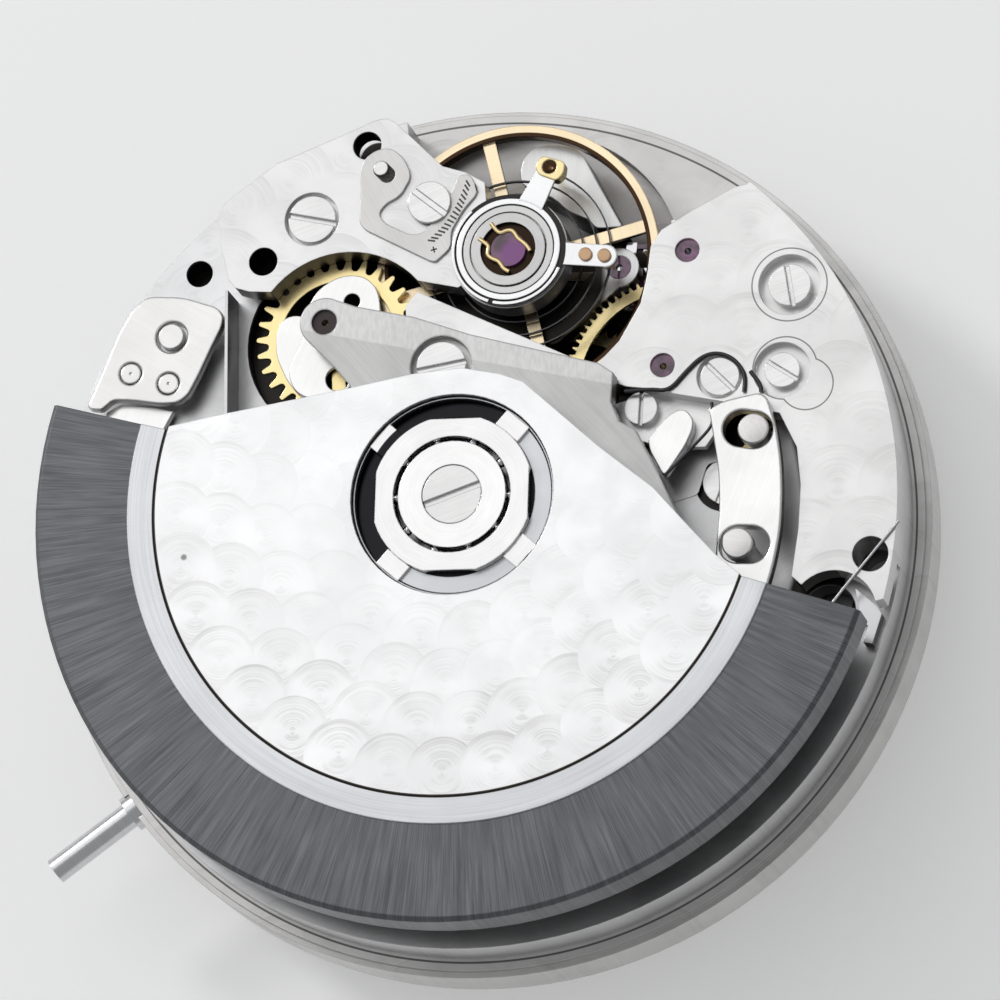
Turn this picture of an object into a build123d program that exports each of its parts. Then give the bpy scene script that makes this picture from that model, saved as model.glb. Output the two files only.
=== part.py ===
from build123d import *
from math import atan2, cos, degrees, hypot, radians, sin, sqrt
import os

os.makedirs("parts", exist_ok=True)

# A self-winding chronograph movement, seen with its winding rotor up and its dial side down.
# The origin is the centre axis at the dial seat. Lengths are in millimetres.

# Clearances that many pieces share
running_gap = 0.02
part_gap = 0.1
overrun = 0.5

# The movement in plan
casing_radius = 15.0
flange_overhang = 0.2
bridge_inset = 0.4
flange_radius = casing_radius + flange_overhang
bridge_radius = casing_radius - bridge_inset

# Plates and the spaces between them, stacked upwards from the dial seat
plate_thickness = 2.7
train_space = 0.5
calibre_bridge_thickness = 1.2
chronograph_space = 0.6
upper_bridge_thickness = 0.93
winding_gap = 0.12
automatic_bridge_thickness = 0.7
rotor_gear_gap = 0.05
rotor_gear_height = 0.35
race_flange_thickness = 0.35
rotor_plate_thickness = 0.4
calibre_bridge_bottom = plate_thickness + train_space
calibre_bridge_top = calibre_bridge_bottom + calibre_bridge_thickness
upper_bridge_bottom = calibre_bridge_top + chronograph_space
upper_bridge_top = upper_bridge_bottom + upper_bridge_thickness
automatic_bridge_bottom = upper_bridge_top + winding_gap
automatic_bridge_top = automatic_bridge_bottom + automatic_bridge_thickness
rotor_gear_bottom = automatic_bridge_top + rotor_gear_gap
race_flange_bottom = rotor_gear_bottom + rotor_gear_height
rotor_plate_bottom = race_flange_bottom + race_flange_thickness
rotor_top = rotor_plate_bottom + rotor_plate_thickness

# Floors sunk into the main plate and into the calibre bridge
flange_bottom = 0.6
flange_top = 2.46
barrel_floor = 1.0
train_floor = 1.45
centre_floor = 0.87
balance_floor = 2.1
motion_recess_top = 0.62
jewel_thickness = 0.3
fourth_sink_floor = calibre_bridge_bottom + jewel_thickness
counter_sink_depth = 0.8
counter_sink_floor = calibre_bridge_top - counter_sink_depth

# Places on the plan count in steps of this length
plan_step = 1.0


def plan(place_share):
    """A place on the plan, in millimetres."""
    return (place_share[0] * plan_step, place_share[1] * plan_step)


def outline(places_share):
    """The corners of an outline on the plan, in millimetres."""
    return [plan(place_share) for place_share in places_share]


def polar(radius, angle):
    """A place at this radius and angle about the centre."""
    return (radius * cos(radians(angle)), radius * sin(radians(angle)))


def moved(place, distance, angle):
    """A place this far from another one, in this direction."""
    return (place[0] + distance * cos(radians(angle)), place[1] + distance * sin(radians(angle)))


def bearing_to(place, other):
    """The direction from one place to another, in degrees."""
    return degrees(atan2(other[1] - place[1], other[0] - place[0]))


def distance_between(place, other):
    """How far one place is from another."""
    return hypot(other[0] - place[0], other[1] - place[1])


def third_corner(place, other, from_place, from_other, side):
    """The place at two given distances from two others, to the left of the line for side 1."""
    apart = distance_between(place, other)
    along = (from_place**2 - from_other**2 + apart**2) / (2 * apart)
    across = sqrt(from_place**2 - along**2)
    foot = moved(place, along, bearing_to(place, other))
    return moved(foot, side * across, bearing_to(place, other) + 90)


def meshing_turn(place, other, teeth, other_teeth, other_turn):
    """The turn at which a gear's gap meets the tooth of another gear that it runs with."""
    line = bearing_to(place, other)
    pitch = 360 / teeth
    other_pitch = 360 / other_teeth
    phase = ((line + 180 - other_turn) / other_pitch) % 1
    return line + (0.5 + phase) * pitch


def at_height(place, height):
    """A level plane with its origin over a place."""
    return Plane((place[0], place[1], height))


def disc(place, bottom, top, radius, bore=0.0, mode=Mode.ADD):
    """A round plate, with a bore where one is given, in the part that is open."""
    with BuildSketch(at_height(place, bottom)) as face:
        Circle(radius)
        if bore > 0:
            Circle(bore, mode=Mode.SUBTRACT)
    extrude(face.sketch, top - bottom, mode=mode)


def slab(points, bottom, top, mode=Mode.ADD):
    """A flat plate of this outline, in the part that is open."""
    with BuildSketch(Plane.XY.offset(bottom)) as face:
        Polygon(*points, align=None)
    extrude(face.sketch, top - bottom, mode=mode)


def capsule(place, other, bottom, top, radius, mode=Mode.ADD):
    """A flat bar with round ends about two places, in the part that is open."""
    middle = ((place[0] + other[0]) / 2, (place[1] + other[1]) / 2)
    with BuildSketch(at_height(middle, bottom)) as face:
        SlotCenterToCenter(distance_between(place, other), 2 * radius, rotation=bearing_to(place, other))
    extrude(face.sketch, top - bottom, mode=mode)


def ring_sector(bottom, top, inner, outer, start, end, mode=Mode.ADD):
    """A ring sector about the centre axis, in the part that is open."""
    middle = (start + end) / 2
    with BuildSketch(Plane.XY.offset(bottom)) as face:
        with BuildLine() as edge:
            ThreePointArc(polar(outer, start), polar(outer, middle), polar(outer, end))
            Line(polar(outer, end), polar(inner, end))
            ThreePointArc(polar(inner, end), polar(inner, middle), polar(inner, start))
            Line(polar(inner, start), polar(outer, start))
        make_face(edge.edges())
    extrude(face.sketch, top - bottom, mode=mode)


# Teeth: how far they stand over and under the pitch circle, in modules, and their widths in pitches
addendum_share = 0.9
dedendum_share = 1.15
root_width_share = 0.54
tip_width_share = 0.16


def tip_radius(teeth, module):
    """The outer radius of a gear."""
    return module * (teeth / 2 + addendum_share)


def root_radius(teeth, module):
    """The radius at the bottom of a gear's teeth."""
    return module * (teeth / 2 - dedendum_share)


def tooth_points(root, tip, teeth, turn, tip_share):
    """The outline of a toothed disc with one tooth at this turn, pointed where the tip share is 0."""
    pitch = 360 / teeth
    points = []
    for tooth in range(teeth):
        middle = turn + tooth * pitch
        points.append(polar(root, middle - root_width_share * pitch / 2))
        if tip_share > 0:
            points.append(polar(tip, middle - tip_share * pitch / 2))
            points.append(polar(tip, middle + tip_share * pitch / 2))
        else:
            points.append(polar(tip, middle))
        points.append(polar(root, middle + root_width_share * pitch / 2))
    return points


def gear(place, bottom, top, teeth, module, turn=0.0, tip_share=0.0, rim=0.0, hub=0.0, arms=0):
    """A gear or pinion in the part that is open. A rim width opens it and leaves arms to its hub."""
    root = root_radius(teeth, module)
    with BuildSketch(at_height(place, bottom)) as face:
        Polygon(*tooth_points(root, tip_radius(teeth, module), teeth, turn, tip_share), align=None)
        if arms > 0:
            Circle(root - rim, mode=Mode.SUBTRACT)
            Circle(hub)
            with PolarLocations((hub + root - rim) / 2, arms, start_angle=turn):
                Rectangle(root - hub, rim)
    extrude(face.sketch, top - bottom)


slot_width_share = 0.22
slot_depth_share = 0.45


def slotted_screw(place, seat, head_height, head_radius, shank_radius, shank_length, slot_turn):
    """A cheese-headed screw with a slot, in the part that is open. Its head stands on the seat."""
    slot_depth = head_height * slot_depth_share
    top = seat + head_height
    disc(place, seat - shank_length, seat, shank_radius)
    disc(place, seat, top, head_radius)
    with BuildSketch(at_height(place, top - slot_depth)) as face:
        Rectangle(2 * (head_radius + overrun), head_radius * slot_width_share, rotation=slot_turn)
    extrude(face.sketch, slot_depth + overrun, mode=Mode.SUBTRACT)


def wire(points, height, radius, bend):
    """A bent wire lying level at this height, in the part that is open."""
    with BuildLine() as path:
        FilletPolyline(*[(x, y, height) for x, y in points], radius=bend)
    with BuildSketch(Plane(origin=path.line @ 0, z_dir=path.line % 0)) as section:
        Circle(radius)
    sweep(section.sketch, path.line)


gap_samples = 24


def spiral_strip(place, bottom, top, inner, pitch, thickness, half_turns, start):
    """Winds a flat strip in half turns about two centres, and gives the least gap between its turns."""
    halves = []
    for half in range(half_turns):
        side = -1 if half % 2 == 0 else 1
        centre = moved(place, side * pitch / 4, start)
        halves.append((centre, inner + half * pitch / 2, start + 180 * (half % 2)))
    with BuildSketch(Plane.XY.offset(bottom)) as face:
        with BuildLine() as edge:
            for centre, radius, begin in halves:
                CenterArc(centre, radius + thickness / 2, begin, 180)
                CenterArc(centre, radius - thickness / 2, begin, 180)
            for centre, radius, angle in (halves[0], (*halves[-1][:2], halves[-1][2] + 180)):
                near = moved(centre, radius - thickness / 2, angle)
                Line(near, moved(centre, radius + thickness / 2, angle))
        make_face(edge.edges())
    extrude(face.sketch, top - bottom)
    middle_line = [
        moved(centre, radius, begin + 180 * sample / gap_samples)
        for centre, radius, begin in halves
        for sample in range(gap_samples)
    ]
    least = min(
        distance_between(point, other)
        for count, point in enumerate(middle_line)
        for other in middle_line[count + gap_samples :]
    )
    return least - thickness


def finish(part, name):
    """Labels a finished piece and writes it."""
    part.part.label = name
    export_step(part.part, f"parts/{name}.step")
    print(name, len(part.part.solids()), "solids", round(part.part.volume, 4))


# Axes that can be seen
centre_axis = (0, 0)
balance_axis = plan((1.25, 9.0))
fourth_axis = plan((6.6, 4.8))
escape_axis = plan((7.35, 8.8))
counter_axis = plan((-4.9, 6.5))

# Going train: teeth, and modules where a distance doesn't set them
barrel_teeth = 72
centre_leaves = 12
centre_teeth = 64
third_leaves = 8
third_teeth = 60
fourth_leaves = 8
fourth_teeth = 84
escape_leaves = 7
escape_teeth = 20
centre_module = 0.13
third_module = 0.12
barrel_distance = 7.3
barrel_angle = 275
barrel_module = 2 * barrel_distance / (barrel_teeth + centre_leaves)
fourth_module = 2 * distance_between(fourth_axis, escape_axis) / (fourth_teeth + escape_leaves)
barrel_axis = polar(barrel_distance, barrel_angle)
third_axis = third_corner(
    centre_axis,
    fourth_axis,
    centre_module * (centre_teeth + third_leaves) / 2,
    third_module * (third_teeth + fourth_leaves) / 2,
    1,
)
escape_turn = meshing_turn(escape_axis, fourth_axis, escape_leaves, fourth_teeth, 0)
third_turn = meshing_turn(third_axis, fourth_axis, third_teeth, fourth_leaves, 0)
centre_turn = meshing_turn(centre_axis, third_axis, centre_teeth, third_leaves, 0)
barrel_turn = meshing_turn(barrel_axis, centre_axis, barrel_teeth, centre_leaves, 0)

# Escapement: the pallets stand on the line from the balance to the escape wheel
pallet_share = 0.555
pallet_axis = (
    balance_axis[0] + pallet_share * (escape_axis[0] - balance_axis[0]),
    balance_axis[1] + pallet_share * (escape_axis[1] - balance_axis[1]),
)
pallet_line = bearing_to(pallet_axis, balance_axis)
pallet_to_balance = distance_between(pallet_axis, balance_axis)

# Chronograph train
runner_teeth = 63
runner_module = 0.119
coupling_leaves = 8
upper_coupling_leaves = 6
coupling_axis = third_corner(
    centre_axis,
    fourth_axis,
    runner_module * (runner_teeth + upper_coupling_leaves) / 2,
    fourth_module * (fourth_teeth + coupling_leaves) / 2,
    -1,
)
coupling_turn = meshing_turn(coupling_axis, fourth_axis, coupling_leaves, fourth_teeth, 0)
runner_turn = meshing_turn(centre_axis, coupling_axis, runner_teeth, upper_coupling_leaves, 0)
counter_teeth = 30
counter_tip_radius = 3.0
counter_module = counter_tip_radius / (counter_teeth / 2 + addendum_share)

# Winding train from the rotor to the ratchet wheel, and from the stem to it
rotor_gear_teeth = 36
reverser_teeth = 36
reverser_module = 0.13
output_leaves = 10
reduction_teeth = 50
reduction_module = 0.12
reduction_leaves = 8
ratchet_teeth = 48
ratchet_module = 0.16
reverser_angle = 325
reverser_axis = polar(reverser_module * (rotor_gear_teeth + reverser_teeth) / 2, reverser_angle)
reduction_axis = third_corner(
    reverser_axis,
    barrel_axis,
    reduction_module * (output_leaves + reduction_teeth) / 2,
    ratchet_module * (reduction_leaves + ratchet_teeth) / 2,
    1,
)
reverser_turn = meshing_turn(reverser_axis, centre_axis, reverser_teeth, rotor_gear_teeth, 0)
reduction_turn = meshing_turn(reduction_axis, reverser_axis, reduction_teeth, output_leaves, 0)
ratchet_turn = meshing_turn(barrel_axis, reduction_axis, ratchet_teeth, reduction_leaves, 0)
stem_angle = 217
crown_distance = 8.2
crown_leaves = 20
crown_axis = polar(crown_distance, stem_angle)
transfer_leaves = 14
transfer_axis = third_corner(
    crown_axis,
    barrel_axis,
    ratchet_module * (crown_leaves + transfer_leaves) / 2,
    ratchet_module * (transfer_leaves + ratchet_teeth) / 2,
    1,
)
transfer_turn = meshing_turn(transfer_axis, barrel_axis, transfer_leaves, ratchet_teeth, ratchet_turn)
crown_turn = meshing_turn(crown_axis, transfer_axis, crown_leaves, transfer_leaves, transfer_turn)

# Motion work under the dial
cannon_leaves = 10
minute_teeth = 30
minute_leaves = 8
hour_teeth = 32
motion_module = 0.11
minute_axis = polar(motion_module * (cannon_leaves + minute_teeth) / 2, stem_angle)
minute_turn = meshing_turn(minute_axis, centre_axis, minute_teeth, cannon_leaves, 0)
hour_turn = meshing_turn(centre_axis, minute_axis, hour_teeth, minute_leaves, 0)

# Arbors, pivots and jewels
wheel_thickness = 0.15
wheel_hub_radius = 0.45
wheel_rim_width = 0.35
wheel_arms = 4
arbor_radius = 0.2
pivot_radius = 0.1
pivot_length = 0.25
jewel_radius = 0.42
hand_pivot_radius = 0.125
hand_pivot_length = 0.9
hour_pipe_radius = 1.0
hour_pipe_length = 0.9
minute_pipe_radius = 0.7
minute_seat_radius = 0.5
hand_seat_radius = 0.11
minute_pipe_length = 1.5
seconds_pivot_length = 1.9

# Barrel
drum_bottom = barrel_floor + part_gap
drum_top = plate_thickness
drum_radius = 5.98
drum_wall = 0.25
drum_base = 0.2
barrel_teeth_height = 0.3
cover_thickness = 0.15
barrel_well_radius = tip_radius(barrel_teeth, barrel_module) + 2 * part_gap
arbor_hub_radius = 1.2
barrel_pivot_radius = 0.45
ratchet_square = 0.62
ratchet_thickness = 0.25
ratchet_thread_radius = 0.2
ratchet_thread_length = 0.8
ratchet_screw_radius = 0.9
ratchet_screw_height = 0.2
ratchet_bottom = calibre_bridge_top + part_gap / 2
ratchet_top = ratchet_bottom + ratchet_thickness

# Levels of the trains
centre_pinion_bottom = centre_floor + part_gap
centre_pinion_height = 0.55
centre_wheel_bottom = plate_thickness + wheel_thickness
third_wheel_bottom = train_floor + jewel_thickness
third_pinion_bottom = plate_thickness - part_gap / 2
third_pinion_top = calibre_bridge_bottom - part_gap
fourth_pinion_bottom = train_floor + part_gap
fourth_pinion_height = 0.5
fourth_wheel_bottom = fourth_sink_floor + wheel_thickness
escape_wheel_bottom = plate_thickness + 2 * part_gap
escape_pinion_bottom = fourth_wheel_bottom - wheel_thickness
escape_pinion_height = 0.45
escape_tip_radius = 2.34
counter_wheel_bottom = counter_sink_floor + 2 * part_gap
runner_wheel_bottom = upper_bridge_bottom - part_gap / 2
centre_tube_radius = 0.45
centre_tube_bore = 0.22
centre_tube_foot_radius = 0.28
centre_tube_top = calibre_bridge_bottom + jewel_thickness
runner_arbor_radius = 0.18
upper_shoulder = upper_bridge_bottom - part_gap / 2

# Balance
balance_radius = 4.9
balance_rim_width = 0.4
balance_rim_height = 0.45
balance_rim_drop = 0.1
balance_rim_bottom = calibre_bridge_top - balance_rim_drop
balance_spoke_width = 0.45
balance_spoke_thickness = 0.2
balance_spoke_count = 4
balance_spoke_turn = 15
balance_hub_radius = 0.6
balance_sink_radius = balance_radius + 4 * part_gap
balance_window_radius = 4.6
staff_radius = 0.15
roller_radius = 0.75
roller_thickness = 0.15
roller_bottom = calibre_bridge_bottom
impulse_radius = 0.55
impulse_jewel_radius = 0.08
impulse_jewel_length = 0.35
collet_radius = 0.45
collet_height = 0.22
hairspring_height = 0.15
hairspring_drop = 0.28
hairspring_bottom = upper_bridge_bottom - hairspring_drop
hairspring_thickness = 0.05
hairspring_pitch = 0.47
hairspring_half_turns = 12
hairspring_inner = 0.62
stud_turn = 67

# Stem and keyless works
stem_height = 1.95
stem_radius = 0.45
stem_overhang = 3.6
stem_bearing_radius = 0.65
stem_bearing_inset = 0.8
stem_bearing_overhang = 0.4
stem_reach = casing_radius + stem_overhang
stem_bearing_inner = casing_radius - stem_bearing_inset
stem_bearing_outer = casing_radius + stem_bearing_overhang
stem_inner_reach = 8.8
keyless_inner = 8.6
keyless_outer = 12.2
keyless_width = 2.2
keyless_floor = 0.95
setting_inner = 12.4
setting_outer = 14.1
setting_near = -0.3
setting_far = 2.65
setting_floor = 1.6
setting_pin_radius = 0.3
setting_along = 13.25
setting_across = 2.2
setting_axis = moved(polar(setting_along, stem_angle), setting_across, stem_angle + 90)
stem_along = (cos(radians(stem_angle)), sin(radians(stem_angle)), 0)
stem_across = (-sin(radians(stem_angle)), cos(radians(stem_angle)), 0)


def stem_plane(reach):
    """A plane square to the stem at this distance from the centre axis."""
    return Plane(origin=(*polar(reach, stem_angle), stem_height), x_dir=stem_across, z_dir=stem_along)


def stem_disc(inner, outer, radius, mode=Mode.ADD):
    """A round length of the stem between two distances from the centre, in the part that is open."""
    with BuildSketch(stem_plane(inner)) as face:
        Circle(radius)
    extrude(face.sketch, outer - inner, mode=mode)


# Hollows of the dial side
date_groove_depth = 0.45
date_rim_width = 2.1
date_groove_width = 3.3
date_outer_radius = casing_radius - date_rim_width
date_inner_radius = date_outer_radius - date_groove_width
calendar_plate_thickness = 0.12
calendar_plate_inner = 7.4
calendar_plate_outer = 10.1
dial_foot_radius = 0.35
dial_foot_inset = 1.1
dial_foot_reach = casing_radius - dial_foot_inset
dial_foot_angles = (75, 260)
dial_foot_depth = 1.8
casing_screw_radius = 0.35
casing_screw_inset = 1.15
casing_screw_reach = casing_radius - casing_screw_inset
casing_screw_angles = (352, 172)
casing_hole_radius = 0.6
minute_post_radius = 0.2

# Main plate
with BuildPart() as mainplate:
    disc(centre_axis, 0, plate_thickness, casing_radius)
    disc(centre_axis, flange_bottom, flange_top, flange_radius)
    disc(balance_axis, balance_floor, plate_thickness, balance_sink_radius, mode=Mode.SUBTRACT)
    disc(barrel_axis, barrel_floor, plate_thickness, barrel_well_radius, mode=Mode.SUBTRACT)
    third_well = tip_radius(third_teeth, third_module) + 2 * part_gap
    disc(third_axis, train_floor, plate_thickness, third_well, mode=Mode.SUBTRACT)
    fourth_well = tip_radius(fourth_leaves, third_module) + part_gap
    disc(fourth_axis, train_floor, plate_thickness, fourth_well, mode=Mode.SUBTRACT)
    centre_well = tip_radius(centre_leaves, barrel_module) + part_gap
    disc(centre_axis, centre_floor, plate_thickness, centre_well, mode=Mode.SUBTRACT)
    # Bores for the pivots, and seats for the jewels that line them
    disc(centre_axis, 0, centre_floor, centre_tube_radius + running_gap, mode=Mode.SUBTRACT)
    disc(barrel_axis, 0, barrel_floor, barrel_pivot_radius + running_gap, mode=Mode.SUBTRACT)
    lower_jewels = [
        (third_axis, train_floor, pivot_radius),
        (fourth_axis, train_floor, hand_pivot_radius),
        (escape_axis, plate_thickness, pivot_radius),
        (pallet_axis, balance_floor, pivot_radius),
        (counter_axis, plate_thickness, hand_pivot_radius),
        (balance_axis, balance_floor, pivot_radius),
    ]
    for place, floor, _ in lower_jewels:
        disc(place, floor - jewel_thickness, floor, jewel_radius, mode=Mode.SUBTRACT)
    for place in (fourth_axis, counter_axis):
        disc(place, 0, plate_thickness, hand_pivot_radius + 2 * running_gap, mode=Mode.SUBTRACT)
    # Dial side: the sink of the motion work, the groove of the date ring and its holding plate
    hour_sink = tip_radius(hour_teeth, motion_module) + part_gap
    minute_sink = tip_radius(minute_teeth, motion_module) + part_gap
    disc(centre_axis, 0, motion_recess_top, hour_sink, mode=Mode.SUBTRACT)
    disc(minute_axis, 0, motion_recess_top, minute_sink, mode=Mode.SUBTRACT)
    disc(minute_axis, 0, motion_recess_top, minute_post_radius)
    disc(centre_axis, 0, date_groove_depth, date_outer_radius, date_inner_radius, Mode.SUBTRACT)
    plate_seat = (calendar_plate_outer, calendar_plate_inner)
    disc(centre_axis, 0, calendar_plate_thickness, *plate_seat, Mode.SUBTRACT)
    # Stem bore and the hollow of the keyless works
    bore_radius = stem_radius + running_gap
    stem_disc(keyless_inner, flange_radius + overrun, bore_radius, mode=Mode.SUBTRACT)
    bearing_bore_radius = stem_bearing_radius + running_gap
    bearing_bore_inner = stem_bearing_inner - part_gap
    stem_disc(bearing_bore_inner, flange_radius + overrun, bearing_bore_radius, mode=Mode.SUBTRACT)
    keyless_plane = Plane((0, 0, keyless_floor), x_dir=stem_along, z_dir=(0, 0, 1))
    with BuildSketch(keyless_plane) as keyless_sink:
        with Locations(((keyless_inner + keyless_outer) / 2, 0)):
            Rectangle(keyless_outer - keyless_inner, keyless_width)
    extrude(keyless_sink.sketch, plate_thickness - keyless_floor, mode=Mode.SUBTRACT)
    setting_plane = Plane((0, 0, setting_floor), x_dir=stem_along, z_dir=(0, 0, 1))
    with BuildSketch(setting_plane) as setting_sink:
        with Locations(((setting_inner + setting_outer) / 2, (setting_near + setting_far) / 2)):
            Rectangle(setting_outer - setting_inner, setting_far - setting_near)
    extrude(setting_sink.sketch, plate_thickness - setting_floor, mode=Mode.SUBTRACT)
    setting_bore = setting_pin_radius + running_gap
    disc(setting_axis, setting_floor - jewel_thickness, plate_thickness, setting_bore, mode=Mode.SUBTRACT)
    # Holes for the feet of the dial, and threaded holes for the casing clamps
    for angle in dial_foot_angles:
        foot_place = polar(dial_foot_reach, angle)
        disc(foot_place, 0, dial_foot_depth, dial_foot_radius, mode=Mode.SUBTRACT)
    for angle in casing_screw_angles:
        clamp_place = polar(casing_screw_reach, angle)
        clamp_floor = date_groove_depth + part_gap
        disc(clamp_place, clamp_floor, plate_thickness, casing_screw_radius, mode=Mode.SUBTRACT)
finish(mainplate, "mainplate")

# Motion work: minute hand pipe, minute wheel and hour wheel
cannon_leaf_height = 0.28
minute_wheel_thickness = 0.14
hour_wheel_thickness = 0.16
cannon_top = motion_recess_top - running_gap
cannon_leaf_bottom = cannon_top - cannon_leaf_height
hour_wheel_top = cannon_leaf_bottom - part_gap / 2
hour_wheel_bottom = hour_wheel_top - hour_wheel_thickness
with BuildPart() as cannon_pinion:
    gear(centre_axis, cannon_leaf_bottom, cannon_top, cannon_leaves, motion_module)
    hand_step = -hour_pipe_length - part_gap / 2
    disc(centre_axis, -minute_pipe_length, hand_step, minute_seat_radius)
    disc(centre_axis, hand_step, cannon_leaf_bottom, minute_pipe_radius)
    bore = centre_tube_foot_radius + running_gap
    disc(centre_axis, -minute_pipe_length, cannon_top, bore, mode=Mode.SUBTRACT)
finish(cannon_pinion, "cannon_pinion")

with BuildPart() as minute_wheel:
    wheel_top = cannon_top - part_gap / 2
    wheel_bottom = wheel_top - minute_wheel_thickness
    gear(minute_axis, wheel_bottom, wheel_top, minute_teeth, motion_module, minute_turn)
    gear(minute_axis, part_gap / 2, wheel_bottom, minute_leaves, motion_module)
    disc(minute_axis, 0, cannon_top, minute_post_radius + running_gap, mode=Mode.SUBTRACT)
finish(minute_wheel, "minute_wheel")

with BuildPart() as hour_wheel:
    gear(centre_axis, hour_wheel_bottom, hour_wheel_top, hour_teeth, motion_module, hour_turn)
    disc(centre_axis, -hour_pipe_length, hour_wheel_bottom, hour_pipe_radius)
    bore = minute_pipe_radius + running_gap
    disc(centre_axis, -hour_pipe_length, hour_wheel_top, bore, mode=Mode.SUBTRACT)
finish(hour_wheel, "hour_wheel")

# Date ring and the plate that holds it
date_ring_gap = 0.05
date_teeth = 31
date_tooth_height = 0.45
date_ring_bottom = calendar_plate_thickness + running_gap
date_ring_top = date_groove_depth - date_ring_gap
date_ring_outer = date_outer_radius - date_ring_gap
date_tip_radius = date_inner_radius + date_ring_gap
date_root_radius = date_tip_radius + date_tooth_height
with BuildPart() as date_ring:
    with BuildSketch(Plane.XY.offset(date_ring_bottom)) as face:
        Circle(date_ring_outer)
        date_outline = tooth_points(date_root_radius, date_tip_radius, date_teeth, 0, 0)
        Polygon(*date_outline, align=None, mode=Mode.SUBTRACT)
    extrude(face.sketch, date_ring_top - date_ring_bottom)
finish(date_ring, "date_ring")

with BuildPart() as calendar_plate:
    plate_outer = calendar_plate_outer - date_ring_gap
    plate_inner = calendar_plate_inner + date_ring_gap
    disc(centre_axis, 0, calendar_plate_thickness, plate_outer, plate_inner)
finish(calendar_plate, "calendar_plate")

# Barrel: toothed drum, cover, arbor and mainspring
with BuildPart() as barrel_drum:
    teeth_top = drum_bottom + barrel_teeth_height
    gear(barrel_axis, drum_bottom, teeth_top, barrel_teeth, barrel_module, barrel_turn)
    disc(barrel_axis, drum_bottom, drum_top, drum_radius)
    drum_inside = drum_radius - drum_wall
    disc(barrel_axis, drum_bottom + drum_base, drum_top, drum_inside, mode=Mode.SUBTRACT)
    cover_seat = drum_radius - drum_wall / 2
    disc(barrel_axis, drum_top - cover_thickness, drum_top, cover_seat, mode=Mode.SUBTRACT)
    drum_bore = barrel_pivot_radius + running_gap
    disc(barrel_axis, drum_bottom, drum_top, drum_bore, mode=Mode.SUBTRACT)
finish(barrel_drum, "barrel_drum")

with BuildPart() as barrel_cover:
    disc(barrel_axis, drum_top - cover_thickness, drum_top, cover_seat - running_gap / 2, drum_bore)
finish(barrel_cover, "barrel_cover")

with BuildPart() as barrel_arbor:
    hub_bottom = drum_bottom + drum_base + part_gap / 2
    hub_top = drum_top - cover_thickness - part_gap / 2
    disc(barrel_axis, barrel_floor / 2, calibre_bridge_top, barrel_pivot_radius)
    disc(barrel_axis, hub_bottom, hub_top, arbor_hub_radius)
    with BuildSketch(at_height(barrel_axis, calibre_bridge_top)) as square:
        Rectangle(ratchet_square, ratchet_square)
    extrude(square.sketch, ratchet_top - calibre_bridge_top)
    thread_floor = ratchet_top - ratchet_thread_length - running_gap
    disc(barrel_axis, thread_floor, ratchet_top, ratchet_thread_radius + running_gap / 2, mode=Mode.SUBTRACT)
finish(barrel_arbor, "barrel_arbor")

mainspring_pitch = 0.6
mainspring_thickness = 0.13
mainspring_half_turns = 14
mainspring_inner = arbor_hub_radius + mainspring_pitch / 2
with BuildPart() as mainspring:
    mainspring_gap = spiral_strip(
        barrel_axis,
        hub_bottom,
        hub_top,
        mainspring_inner,
        mainspring_pitch,
        mainspring_thickness,
        mainspring_half_turns,
        0,
    )
finish(mainspring, "mainspring")
print("mainspring least gap", round(mainspring_gap, 3))

with BuildPart() as ratchet_wheel:
    gear(barrel_axis, ratchet_bottom, ratchet_top, ratchet_teeth, ratchet_module, ratchet_turn)
    with BuildSketch(at_height(barrel_axis, ratchet_bottom)) as square:
        Rectangle(ratchet_square + running_gap, ratchet_square + running_gap)
    extrude(square.sketch, ratchet_thickness, mode=Mode.SUBTRACT)
finish(ratchet_wheel, "ratchet_wheel")

with BuildPart() as ratchet_screw:
    slotted_screw(
        barrel_axis,
        ratchet_top,
        ratchet_screw_height,
        ratchet_screw_radius,
        ratchet_thread_radius,
        ratchet_thread_length,
        0,
    )
finish(ratchet_screw, "ratchet_screw")


def arbor(place, bottom, top, lower_pivot, upper_pivot):
    """An arbor with a pivot at each end, in the part that is open."""
    disc(place, bottom, top, arbor_radius)
    disc(place, bottom - lower_pivot, bottom, pivot_radius)
    disc(place, top, top + upper_pivot, pivot_radius)


# Going train
with BuildPart() as centre_wheel:
    gear(
        centre_axis,
        centre_wheel_bottom,
        centre_wheel_bottom + wheel_thickness,
        centre_teeth,
        centre_module,
        centre_turn,
        rim=wheel_rim_width,
        hub=wheel_hub_radius * 2,
        arms=wheel_arms,
    )
    pinion_top = centre_pinion_bottom + centre_pinion_height
    gear(centre_axis, centre_pinion_bottom, pinion_top, centre_leaves, barrel_module)
    tube_shoulder = motion_recess_top + running_gap
    disc(centre_axis, tube_shoulder, centre_tube_top, centre_tube_radius)
    disc(centre_axis, 0, tube_shoulder, centre_tube_foot_radius)
    disc(centre_axis, 0, centre_tube_top, centre_tube_bore, mode=Mode.SUBTRACT)
finish(centre_wheel, "centre_wheel")

with BuildPart() as third_wheel:
    gear(
        third_axis,
        third_wheel_bottom,
        third_wheel_bottom + wheel_thickness,
        third_teeth,
        third_module,
        third_turn,
        rim=wheel_rim_width,
        hub=wheel_hub_radius,
        arms=wheel_arms,
    )
    gear(third_axis, third_pinion_bottom, third_pinion_top, third_leaves, centre_module)
    third_top = calibre_bridge_bottom - part_gap / 2
    arbor(third_axis, train_floor + part_gap / 2, third_top, pivot_length, pivot_length)
finish(third_wheel, "third_wheel")

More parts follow.
